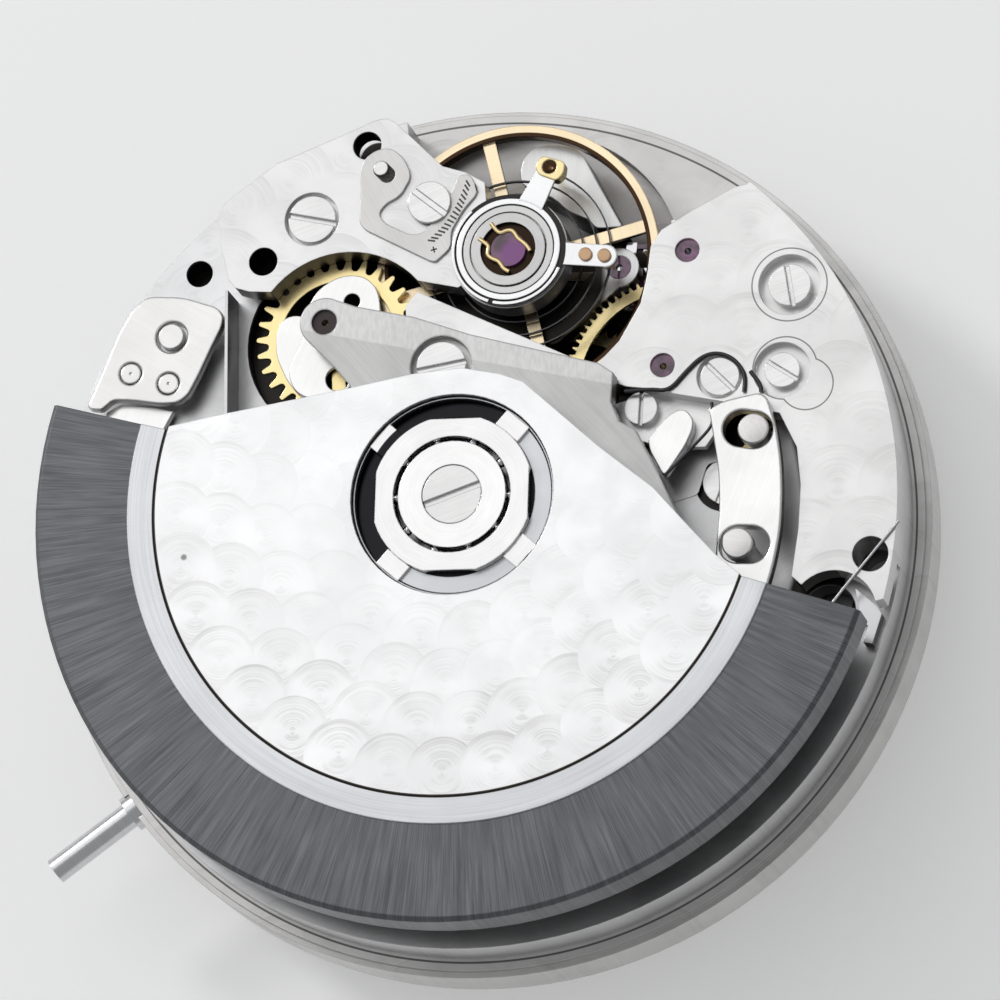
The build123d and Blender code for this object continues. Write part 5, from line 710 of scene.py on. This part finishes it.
def settle(piece, name, body, material, angle=20.0):
    """Bakes a piece's place into its mesh, gives it its finish and lets it ride on its body."""
    apart()
    piece.select_set(True)
    bpy.context.view_layer.objects.active = piece
    bpy.ops.object.transform_apply(location=True, rotation=True, scale=True)
    bpy.ops.object.shade_smooth_by_angle(angle=math.radians(angle))
    piece.name = name
    piece.data.name = name
    piece.data.materials.clear()
    piece.data.materials.append(material)
    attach(piece, body)
    return piece


def join_pieces(pieces):
    apart()
    for piece in pieces:
        piece.select_set(True)
    bpy.context.view_layer.objects.active = pieces[0]
    bpy.ops.object.join()
    return bpy.context.object


def bar(place, length, width, height, turn, bevel=0.008):
    """A small bar lying on a level, its edges bevelled. Sizes in millimetres."""
    apart()
    bpy.ops.mesh.primitive_cube_add(size=1.0, location=(place[0] * MM, place[1] * MM, place[2] * MM),
                                    rotation=(0.0, 0.0, math.radians(turn)))
    piece = bpy.context.object
    piece.scale = (length * MM, width * MM, height * MM)
    bpy.ops.object.transform_apply(location=False, rotation=False, scale=True)
    bpy.ops.object.mode_set(mode="EDIT")
    bpy.ops.mesh.select_all(action="SELECT")
    bpy.ops.mesh.bevel(offset=bevel * MM, segments=2, affect="EDGES")
    bpy.ops.object.mode_set(mode="OBJECT")
    return piece


def lay_points(spline, places, level):
    """Lays a line's points at these places in millimetres, at a level where they give no height."""
    spline.points.add(len(places) - 1)
    for point, place in zip(spline.points, places):
        height = place[2] if len(place) > 2 else level
        point.co = (place[0] * MM, place[1] * MM, height * MM, 1.0)


def bent_wire(points, level, radius, flatten=1.0):
    """A bent wire through these places in millimetres, flattened in height where asked."""
    apart()
    bpy.ops.curve.primitive_nurbs_path_add(location=(0.0, 0.0, 0.0))
    path = bpy.context.object
    path.data.splines.clear()
    spline = path.data.splines.new("NURBS")
    lay_points(spline, points, level)
    spline.order_u = 3
    spline.use_endpoint_u = True
    spline.resolution_u = 6
    path.data.bevel_depth = radius * MM
    path.data.bevel_resolution = 3
    path.data.use_fill_caps = True
    path.select_set(True)
    bpy.context.view_layer.objects.active = path
    bpy.ops.object.convert(target="MESH")
    piece = bpy.context.object
    if flatten != 1.0:
        bpy.ops.object.mode_set(mode="EDIT")
        bpy.ops.mesh.select_all(action="SELECT")
        bpy.ops.transform.resize(value=(1.0, 1.0, flatten), center_override=(0.0, 0.0, level * MM))
        bpy.ops.object.mode_set(mode="OBJECT")
    return piece


def curve_piece(loops, **settings):
    """A mesh made from closed or open lines through these places in millimetres."""
    apart()
    bpy.ops.curve.primitive_bezier_circle_add(location=(0.0, 0.0, 0.0))
    path = bpy.context.object
    path.data.splines.clear()
    for places, closed in loops:
        spline = path.data.splines.new("POLY")
        lay_points(spline, places, 0.0)
        spline.use_cyclic_u = closed
    for key, value in settings.items():
        setattr(path.data, key, value)
    bpy.ops.object.convert(target="MESH")
    return bpy.context.object


def close_shell():
    """In edit mode, merges what meets and turns all faces outwards."""
    bpy.ops.mesh.select_all(action="SELECT")
    bpy.ops.mesh.remove_doubles(threshold=0.0001 * MM)
    bpy.ops.mesh.normals_make_consistent(inside=False)
    bpy.ops.object.mode_set(mode="OBJECT")


def turned(place, profile, steps=48):
    """A turned part: a profile of (radius, height) in millimetres spun about an upright axis."""
    line = [(place[0] + radius, place[1], height) for radius, height in profile]
    piece = curve_piece([(line, False)], dimensions="3D", bevel_depth=0.0)
    bpy.ops.object.mode_set(mode="EDIT")
    bpy.ops.mesh.select_all(action="SELECT")
    bpy.ops.mesh.spin(steps=steps, angle=math.tau, center=(place[0] * MM, place[1] * MM, 0.0), axis=(0.0, 0.0, 1.0))
    close_shell()
    return piece


def arc(centre, radius, start, sweep, steps):
    """Places along an arc, angles in degrees."""
    turns = [math.radians(start + sweep * step / steps) for step in range(steps + 1)]
    return [(centre[0] + radius * math.cos(turn), centre[1] + radius * math.sin(turn)) for turn in turns]


def round_hole(centre, radius, steps=24):
    """The outline of a round hole."""
    return arc(centre, radius, 0.0, 360.0 * (steps - 1) / steps, steps - 1)


def arm_outline(end, turn, end_radius, root_radius, half_angle):
    """The outline of an arm about the balance, with straight sides and a round end."""
    root = arc(balance_axis, root_radius, turn + half_angle, -2.0 * half_angle, 8)
    return arc(end, end_radius, turn - 90.0, 180.0, 16) + root


def slot_outline(first, last, radius, steps=16):
    """The outline of a slot with round ends between two centres."""
    way = math.degrees(math.atan2(last[1] - first[1], last[0] - first[0]))
    return arc(last, radius, way - 90.0, 180.0, steps) + arc(first, radius, way + 90.0, 180.0, steps)


def eased(corners, radius, steps=9):
    """An outline with its corners rounded by a radius, less where an edge is short."""
    places = []
    for index, corner in enumerate(corners):
        here = Vector(corner)
        before = Vector(corners[index - 1]) - here
        after = Vector(corners[(index + 1) % len(corners)]) - here
        reach = min(radius, before.length * 0.48, after.length * 0.48)
        start = here + before.normalized() * reach
        end = here + after.normalized() * reach
        for step in range(steps + 1):
            share = step / steps
            places.append(tuple(start * (1 - share) ** 2 + here * (2 * share * (1 - share)) + end * share ** 2))
    return places


def cut_part(outlines, bottom, top, bevel=0.03):
    """A flat part cut from an outline, with openings where more outlines follow, and bevelled edges."""
    piece = curve_piece(
        [(outline, True) for outline in outlines], dimensions="2D", fill_mode="BOTH",
        extrude=((top - bottom) / 2 - bevel) * MM, bevel_depth=bevel * MM, bevel_resolution=1, offset=-bevel * MM)
    piece.location.z = (bottom + top) / 2 * MM
    bpy.ops.object.transform_apply(location=True, rotation=False, scale=False)
    bpy.ops.object.mode_set(mode="EDIT")
    close_shell()
    return piece


def toothed(centre, tip, root, teeth, turn):
    """The outline of a wheel with long teeth, as deep and as wide as their gaps."""
    corners = []
    for tooth in range(teeth):
        for share, radius in ((0.05, root), (0.24, tip), (0.49, tip), (0.68, root)):
            at = math.radians(turn + 360.0 * (tooth + share) / teeth)
            corners.append((centre[0] + radius * math.cos(at), centre[1] + radius * math.sin(at)))
    return eased(corners, 0.13, 4)


def wheel_windows(centre, hub, rim, arms, half_arm, turn):
    """The openings between a wheel's arms."""
    openings = []
    for arm in range(arms):
        start = turn + 360.0 * arm / arms
        outer = math.degrees(math.asin(half_arm / rim))
        inner = math.degrees(math.asin(half_arm / hub))
        outline = arc(centre, rim, start + outer, 360.0 / arms - 2 * outer, 16)
        outline += arc(centre, hub, start + 360.0 / arms - inner, 2 * inner - 360.0 / arms, 6)
        openings.append(outline)
    return openings


def slotted_head(place, radius, bottom, top, slot_width, turn):
    """A screw head with a chamfered edge: two halves stand on a disc, with the slot between them."""
    floor = top - (top - bottom) * 0.45
    half = math.degrees(math.asin(slot_width / 2 / radius))
    parts = [turned(place, [(0.0, bottom), (radius, bottom), (radius, floor), (0.0, floor)])]
    for side in (0.0, 180.0):
        edge = arc(place, radius, turn + side + half, 180.0 - 2.0 * half, 24)
        parts.append(cut_part([edge], floor - 0.005, top, 0.02))
    return join_pieces(parts)


# Lyre spring over the cap jewel, its two limbs from the hinge to the far side
lyre_level = bridge_top + 0.3
upper_limb = [
    (0.64, 9.93), (0.80, 9.70), (0.97, 9.56), (1.16, 9.66), (1.38, 9.66), (1.50, 9.50), (1.58, 9.36), (1.74, 9.24),
    (1.92, 9.08), (2.02, 8.90)]
lower_limb = [
    (0.24, 9.40), (0.42, 9.27), (0.58, 9.14), (0.56, 8.98), (0.54, 8.82), (0.70, 8.68), (0.92, 8.60), (1.04, 8.44),
    (1.14, 8.28), (1.32, 8.20)]
gold_lyre = metal("lyre_gold", (0.95, 0.74, 0.40), 0.22, edge=0.03)[0]
limbs = [bent_wire(upper_limb, lyre_level, 0.075, 0.6), bent_wire(lower_limb, lyre_level, 0.075, 0.6)]
settle(join_pieces(limbs), "lyre_spring", "frame", gold_lyre, 60.0)

# Round wire springs: that of the hammer, its return and that of the finger
hammer_wire = [
    (5.35, 3.9), (6.2, 3.97), (6.85, 3.85), (7.4, 4.5), (7.9, 5.0), (8.4, 5.15), (8.9, 5.0), (9.3, 4.6),
    (9.45, 4.2), (9.4, 3.75)]
return_wire = [(9.6, 4.45), (9.8, 4.2), (9.97, 3.95), (9.98, 3.72)]
finger_wire = [
    (6.75, 0.95), (7.4, 1.62), (8.0, 2.25), (8.3, 2.6), (8.36, 2.95), (8.3, 3.45)]
wires = [bent_wire(hammer_wire, 6.02, 0.07), bent_wire(return_wire, 6.02, 0.07),
         bent_wire(finger_wire, 5.92, 0.055)]
springs = settle(join_pieces(wires), "wire_springs_round", "frame", wire_steel, 60.0)
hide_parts("wire_springs")

# Minute-counter wheel: long teeth with round ends, and four arms
counter_bottom, counter_top = 4.8, 4.95
counter_tip, counter_root, counter_teeth = 2.85, 2.42, 30
counter_outlines = [toothed(counter_axis, counter_tip, counter_root, counter_teeth, 7.5)]
counter_outlines += wheel_windows(counter_axis, 0.7, 2.0, 4, 0.25, 4.0)
counter_parts = [cut_part(counter_outlines, counter_bottom, counter_top, 0.015)]
counter_parts.append(turned(counter_axis, [
    (0.0, -0.9), (0.11, -0.9), (0.11, -0.1), (0.125, -0.1), (0.125, 2.75), (0.2, 2.75), (0.2, 6.0), (0.1, 6.0),
    (0.1, 6.3), (0.0, 6.3)], 24))
counter_wheel = settle(join_pieces(counter_parts), "minute_counter_wheel_cut", "counter", counter_gold)
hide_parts("minute_counter_wheel")

# Cam of the counter: a heart with two eyes over a broad white plate
cam_outline = [
    (-3.34, 7.15), (-3.4, 7.75), (-3.56, 8.2), (-3.98, 8.56), (-4.6, 8.63), (-5.13, 8.45), (-5.6, 8.1),
    (-5.88, 7.6), (-6.07, 6.9), (-6.0, 6.3), (-6.36, 5.7), (-6.5, 5.1), (-6.2, 4.5), (-5.5, 4.2), (-4.7, 4.3),
    (-4.0, 4.9), (-3.6, 5.8), (-3.4, 6.5)]
plate_outline = [
    (-5.9, 7.2), (-6.4, 7.32), (-6.82, 7.18), (-7.03, 6.6), (-6.97, 5.83), (-6.58, 5.0), (-6.1, 4.4), (-5.4, 4.1),
    (-5.2, 5.2), (-5.6, 6.2)]
cam_bottom, cam_top = 5.1, 5.25
eyes = [round_hole((-4.36, 7.67), 0.28), round_hole((-4.75, 4.95), 0.42)]
cam_parts = [cut_part([eased(cam_outline, 0.3, 4)] + eyes, cam_bottom, cam_top, 0.02),
             cut_part([eased(plate_outline, 0.25, 4)], counter_top, cam_bottom, 0.02),
             turned(counter_axis, [(0.0, 4.9), (0.5, 4.9), (0.5, 5.12), (0.0, 5.12)], 24)]
cam = settle(join_pieces(cam_parts), "counter_cam_cut", "counter", lever_steel)
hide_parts("counter_cam")

# Broad end of the pallet bridge, seen under the stud
wing = [
    (1.16, 11.98), (1.09, 12.5), (1.21, 12.95), (1.48, 13.29), (2.15, 13.41), (2.82, 13.31), (3.24, 13.06),
    (3.86, 11.86), (4.7, 10.37), (4.62, 10.32), (3.79, 10.3), (3.56, 10.62), (2.83, 10.94), (2.37, 11.41)]
wing_bottom, wing_top = 2.12, 4.12
settle(cut_part([eased(wing, 0.25)], wing_bottom, wing_top), "pallet_bridge_end", "frame",
       pallet_nickel)

# Regulator plate: a rounded fork, with a slot beside its pin
fork_outline = [
    (-4.0, 10.2), (-4.0, 11.4), (-4.05, 12.1), (-3.9, 12.5), (-3.5, 12.8), (-3.0, 12.85), (-2.55, 12.5),
    (-2.3, 12.0), (-2.28, 11.7), (-2.6, 11.1), (-3.1, 10.85), (-3.35, 10.5), (-3.1, 10.15), (-2.2, 9.7),
    (-1.75, 9.75), (-1.25, 10.4), (-0.8, 11.2), (-0.6, 11.75), (-0.2, 11.8), (0.15, 11.15), (-0.4, 10.5),
    (-0.8, 9.75), (-0.75, 9.2), (-1.3, 8.7), (-1.5, 8.75), (-3.8, 9.95)]
pin_slot = slot_outline((-3.3, 12.1), (-3.08, 11.88), 0.27)
fork = settle(cut_part([eased(fork_outline, 0.3), pin_slot], bridge_top, regulator_top, 0.02),
              "regulator_plate_cut", "frame", grey_steel)
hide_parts("regulator_plate")
# A dark finish for engraved marks, also used as painted shade on the floor of the pin's slot.
engraving_and_shade_dark, tree, shader, place = start_material("engraved_dark")
cloud = noise(tree, place, 12.0, 2.0, 0.6)
wire_up(tree, shader, {
    "Base Color": blend(tree, soft_step(tree, cloud, 0.3, 0.7), (0.05, 0.045, 0.04, 1.0), (0.13, 0.12, 0.11, 1.0)),
    "Roughness": 0.6})
# A dark sheet on the floor of the pin's slot: painted shade.
settle(cut_part([pin_slot], bridge_top + 0.002, bridge_top + 0.02, 0.002), "pin_slot_floor", "frame",
       engraving_and_shade_dark)

# Graduations cut in the regulator plate, with a minus and a plus mark at their ends
mark_places = [
    (-0.25, 11.45), (-0.29, 11.30), (-0.34, 11.13), (-0.39, 10.97), (-0.45, 10.82), (-0.51, 10.68), (-0.57, 10.54),
    (-0.64, 10.40), (-0.72, 10.26), (-0.81, 10.13), (-0.91, 10.00), (-1.00, 9.88), (-1.11, 9.77), (-1.22, 9.66),
    (-1.34, 9.55), (-1.45, 9.46)]
marks = []
for place in mark_places:
    turn = math.degrees(math.atan2(place[1] - balance_axis[1], place[0] - balance_axis[0]))
    marks.append(bar((*place, regulator_top + 0.002), 0.26, 0.062, 0.012, turn, 0.003))
marks.append(bar((0.03, 11.29, regulator_top + 0.002), 0.26, 0.05, 0.012, -75.0, 0.003))
marks.append(bar((-1.36, 9.14, regulator_top + 0.002), 0.22, 0.05, 0.012, -75.0, 0.003))
marks.append(bar((-1.36, 9.14, regulator_top + 0.002), 0.22, 0.05, 0.012, 15.0, 0.003))
settle(join_pieces(marks), "regulator_marks", "frame", engraving_and_shade_dark)

# Eccentric of the regulator: a broad slotted disc in the opening of its plate
eccentric_disc = slotted_head((-1.55, 10.8), 0.74, regulator_top + 0.005, regulator_top + 0.13, 0.2, -38.0)
settle(eccentric_disc, "regulator_eccentric", "frame", screw_steel)

# Hammer lever: rounded corners, its two windows and the pivot pin below it
hammer_bottom = 6.05
hammer_top = 6.6
studs = [(9.87, 2.25), (9.42, -1.65)]
window_ends = [(9.46, 2.32), (9.84, -1.67)]
hammer_outline = [
    (8.34, 3.02), (8.77, 3.28), (10.02, 3.54), (10.3, 3.36), (10.6, 2.42), (10.8, 1.3), (10.87, 0.1),
    (10.83, -1.18), (10.63, -2.34), (10.41, -3.16), (10.12, -3.68), (9.2, -3.78), (8.7, -3.2), (8.67, -1.9),
    (8.77, -0.43), (8.72, 0.85), (8.5, 2.1)]
windows = [slot_outline(end, stud, 0.63) for stud, end in zip(studs, window_ends)]
hammer_parts = [
    cut_part([eased(hammer_outline, 0.5)] + windows, hammer_bottom, hammer_top, 0.06),
    turned((9.55, 0.3), [(0.0, 5.25), (0.27, 5.25), (0.3, 5.28), (0.3, 6.08), (0.0, 6.08)])]
hammer = settle(join_pieces(hammer_parts), "hammer_lever_polished", "hammer", lever_steel)
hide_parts("hammer_lever")

# Domed caps of the two guide studs
stud_face = metal("stud_satin", (0.74, 0.725, 0.71), 0.3, lines="round", fineness=10.0, depth=0.15, shade=0.12,
                  centre=studs[0], edge=0.03)[0]
caps = []
for place in studs:
    caps.append(turned(place, [(0.445, 6.2), (0.52, 6.2), (0.52, 6.72), (0.48, 6.77), (0.3, 6.79), (0.0, 6.80),
                               (0.0, 6.758), (0.445, 6.758)]))
settle(join_pieces(caps), "guide_stud_caps", "frame", stud_face)

# Thin plate that closes the sink of the fourth wheel beside the finger
cover = [
    (5.3, 2.7), (6.9, 3.3), (8.4, 3.0), (8.5, 1.9), (7.9, 1.75), (7.6, 0.7), (6.6, 0.4), (5.6, 1.2)]
cover_bottom, cover_top = 4.385, 4.425
settle(cut_part([eased(cover, 0.15)], cover_bottom, cover_top, 0.005), "sink_cover", "frame",
       calibre_ground)

# Finger lever: a plain white bar with a round head, tapering towards the automatic bridge
finger_outline = [
    (6.84, 3.1), (7.15, 3.27), (7.42, 3.24), (7.66, 2.95), (7.66, 2.6), (7.42, 2.02), (6.72, 0.95), (6.2, 1.9),
    (6.14, 2.3)]
finger_bottom, finger_top = 5.35, 5.83
finger = cut_part([eased(finger_outline, 0.25)], finger_bottom, finger_top)
settle(finger, "finger_lever_polished", "finger", lever_steel)
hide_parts("finger_lever")

# Operating lever with a bevelled edge, its screw bore and its two punched rivets
operating_outline = [
    (-13.56, 4.14), (-13.28, 4.8), (-12.52, 6.8), (-12.1, 7.62), (-11.62, 8.05), (-11.31, 8.09), (-10.31, 8.03),
    (-9.07, 7.62), (-8.8, 7.3), (-8.86, 6.9), (-9.15, 6.28), (-9.64, 5.12), (-9.95, 4.5), (-10.3, 4.25),
    (-10.9, 4.22), (-11.95, 4.39), (-12.6, 4.42), (-12.85, 4.2), (-13.0, 4.08)]
rivets = [(-12.02, 5.35), (-10.67, 4.95)]
operating_pivot = (-10.62, 6.6)
operating_bottom, operating_top = 5.0, 5.4
openings = [round_hole(operating_pivot, 0.55, 32)] + [round_hole(place, 0.39) for place in rivets]
operating_parts = [cut_part([eased(operating_outline, 0.35)] + openings, operating_bottom, operating_top, 0.06)]
for place in rivets:
    operating_parts.append(turned(place, [
        (0.0, 4.97), (0.36, 4.97), (0.36, 5.38), (0.33, operating_top), (0.05, operating_top), (0.0, 5.33)], 32))
pivot_head = turned(operating_pivot, [(0.0, 5.36), (0.44, 5.36), (0.44, 5.48), (0.42, 5.5), (0.0, 5.5)])
settle(pivot_head, "operating_pivot_head", "frame", operating_steel)
operating = settle(join_pieces(operating_parts), "operating_lever_polished", "operating", operating_steel)
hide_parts("operating_lever")

# Half ring of light steel in the lower right of the bearing channel
clip_metal = metal("bearing_clip_satin", (0.62, 0.63, 0.645), 0.3, lines="round", fineness=18.0, depth=0.1,
                   shade=0.04, edge=0.03)[0]
rotor_axis = (0.0, 0.0)
clip_inner, clip_outer = 2.75, 3.32
clip_bottom, clip_top = 7.36, 7.6
clip_outline = arc(rotor_axis, clip_outer, -132.0, 180.0, 72) + arc(rotor_axis, clip_inner, 48.0, -180.0, 72)
settle(cut_part([clip_outline], clip_bottom, clip_top, 0.02), "bearing_clip", "rotor", clip_metal)
seat_line = turned(rotor_axis, [(3.36, 7.5), (3.4, 7.5), (3.4, 7.68), (3.36, 7.68), (3.36, 7.5)], 96)
settle(seat_line, "bearing_seat_line", "rotor", clip_metal)

# Index arm with straight sides, under the heads of its two pins
index_turn = -5.8
index_way = Vector((math.cos(math.radians(index_turn)), math.sin(math.radians(index_turn))))
index_end = Vector(balance_axis) + index_way * 3.35
index_bottom, index_top = 5.955, 6.09
index_outline = arm_outline(index_end, index_turn, 0.39, 1.7, 13.5)
settle(cut_part([index_outline], index_bottom, index_top, 0.02), "index_arm", "index", index_steel)

# Stud holder: its bands are parted by thin grooves, and its arm carries the clamp
holder_bottom, stud_level = 6.1, 6.22
stud_turn = 64.5
arm_end = (2.61, 11.84)
holder_parts = [turned(balance_axis, [(1.33, holder_bottom), (1.79, holder_bottom), (1.79, 6.205),
                                      (1.78, stud_level), (1.6, stud_level), (1.59, 6.205), (1.59, 6.14),
                                      (1.55, 6.14), (1.55, 6.19), (1.33, 6.19), (1.33, holder_bottom)], 96),
                turned(balance_axis, [(1.78, holder_bottom), (1.96, holder_bottom), (1.96, 6.13), (1.78, 6.13),
                                      (1.78, holder_bottom)], 96)]
for first_angle, sweep in ((-22.0, -82.0), (-109.0, -118.0)):
    band = arc(balance_axis, 1.96, first_angle, sweep, 40) + arc(balance_axis, 1.85, first_angle + sweep, -sweep,
                                                                 40)
    holder_parts.append(cut_part([band], 6.12, stud_level, 0.01))
stud_arm = [arm_outline(arm_end, stud_turn, 0.35, 1.74, 15.0), round_hole(arm_end, 0.25)]
holder_parts.append(cut_part(stud_arm, holder_bottom, stud_level + 0.004, 0.015))
holder = settle(join_pieces(holder_parts), "stud_holder_bands", "stud", ring_steel)
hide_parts("stud_holder")

# Clamp on the end of the stud holder's arm, with the hairspring's stud below it, and a dark piece in the bore of
# its screw as painted shade
clamp_corners = [
    (2.11, 11.89), (2.35, 12.25), (3.15, 11.99), (3.11, 11.56), (2.87, 11.32), (2.23, 11.58)]
clamp_bottom, clamp_top = 5.8, stud_level + 0.08
clamp_parts = [
    cut_part([eased(clamp_corners, 0.14), round_hole(arm_end, 0.24)], clamp_bottom, clamp_top),
    turned((2.408, 12.114), [(0.0, 4.7), (0.12, 4.7), (0.12, 5.85), (0.0, 5.85)], 16)]
clamp = settle(join_pieces(clamp_parts), "stud_clamp_cut", "stud", clamp_gold)
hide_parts("stud_clamp")
bore_dark = metal("bore_dark", (0.16, 0.09, 0.05), 0.3, lines="round", fineness=14.0, depth=0.1, shade=0.4,
                  centre=arm_end, edge=0.02)[0]
bore = turned(arm_end, [(0.0, 6.0), (0.235, 6.0), (0.235, 6.28), (0.16, 6.22), (0.0, 6.12)], 32)
settle(bore, "stud_clamp_bore", "stud", bore_dark)


# Camera, floor and light

def place_camera():
    """The camera of the photograph: it looks down on the rotor side, about 20 degrees off the axis."""
    lean = Vector((-0.2219, 0.2694, 0.0))
    lean.z = math.sqrt(1.0 - lean.x ** 2 - lean.y ** 2)
    turn = Vector((0.0, 0.0, 1.0)).rotation_difference(lean).to_matrix()
    distance = 206.3983
    pixels_per_mm = 30.2476
    shift = Vector((-1.6033, 0.2021, -distance))
    back = turn.transposed()
    location = (back @ -shift + Vector((0.0, 0.0, rotor_top))) * MM
    data = bpy.data.cameras.new("camera")
    data.sensor_width = 36.0
    data.lens = 36.0 * pixels_per_mm * distance / 1000.0
    data.clip_start = 0.01
    data.clip_end = 10.0
    camera = bpy.data.objects.new("camera", data)
    camera.matrix_world = Matrix.Translation(location) @ back.to_4x4()
    scene.collection.objects.link(camera)
    scene.camera = camera


place_camera()
apart()
bpy.ops.mesh.primitive_plane_add(size=3.0, location=(0.0, 0.0, cad_box[0].z - 0.0002))
floor = bpy.context.object
floor.name = "floor"
floor_paint, tree, shader, place = start_material("floor_paint")
cloud = noise(tree, place, 0.02, 2.0, 0.5)
rays = tree.nodes.new("ShaderNodeLightPath").outputs
seen = most(tree, rays["Is Camera Ray"], rays["Is Glossy Ray"], rays["Is Transmission Ray"])
wire_up(tree, shader, {
    "Base Color": blend(tree, cloud, (0.86, 0.86, 0.86, 1.0), (0.89, 0.89, 0.89, 1.0)), "Roughness": 0.8,
    "Emission Color": (1.0, 1.0, 1.0, 1.0), "Emission Strength": times(tree, seen, 0.25)})
floor.data.materials.append(floor_paint)

world = bpy.data.worlds.new("studio")
scene.world = world
world.use_nodes = True
background = world.node_tree.nodes["Background"]
background.inputs["Color"].default_value = (0.36, 0.365, 0.37, 1.0)
background.inputs["Strength"].default_value = 1.0


def lamp(name, direction, distance, size, radiance):
    """A square soft box that shines at the movement from a direction, in metres."""
    data = bpy.data.lights.new(name, "AREA")
    data.shape = "RECTANGLE"
    data.size, data.size_y = size
    data.energy = radiance * math.pi * size[0] * size[1]
    light = bpy.data.objects.new(name, data)
    away = Vector(direction).normalized()
    light.location = away * distance
    light.rotation_mode = "QUATERNION"
    light.rotation_quaternion = away.to_track_quat("Z", "Y")
    scene.collection.objects.link(light)


lamp("overhead_soft_box", (-0.26, 0.32, 0.91), 0.40, (0.34, 0.24), 0.84)
lamp("key_soft_box", (-0.72, 0.5, 0.62), 0.60, (0.13, 0.13), 17.0)
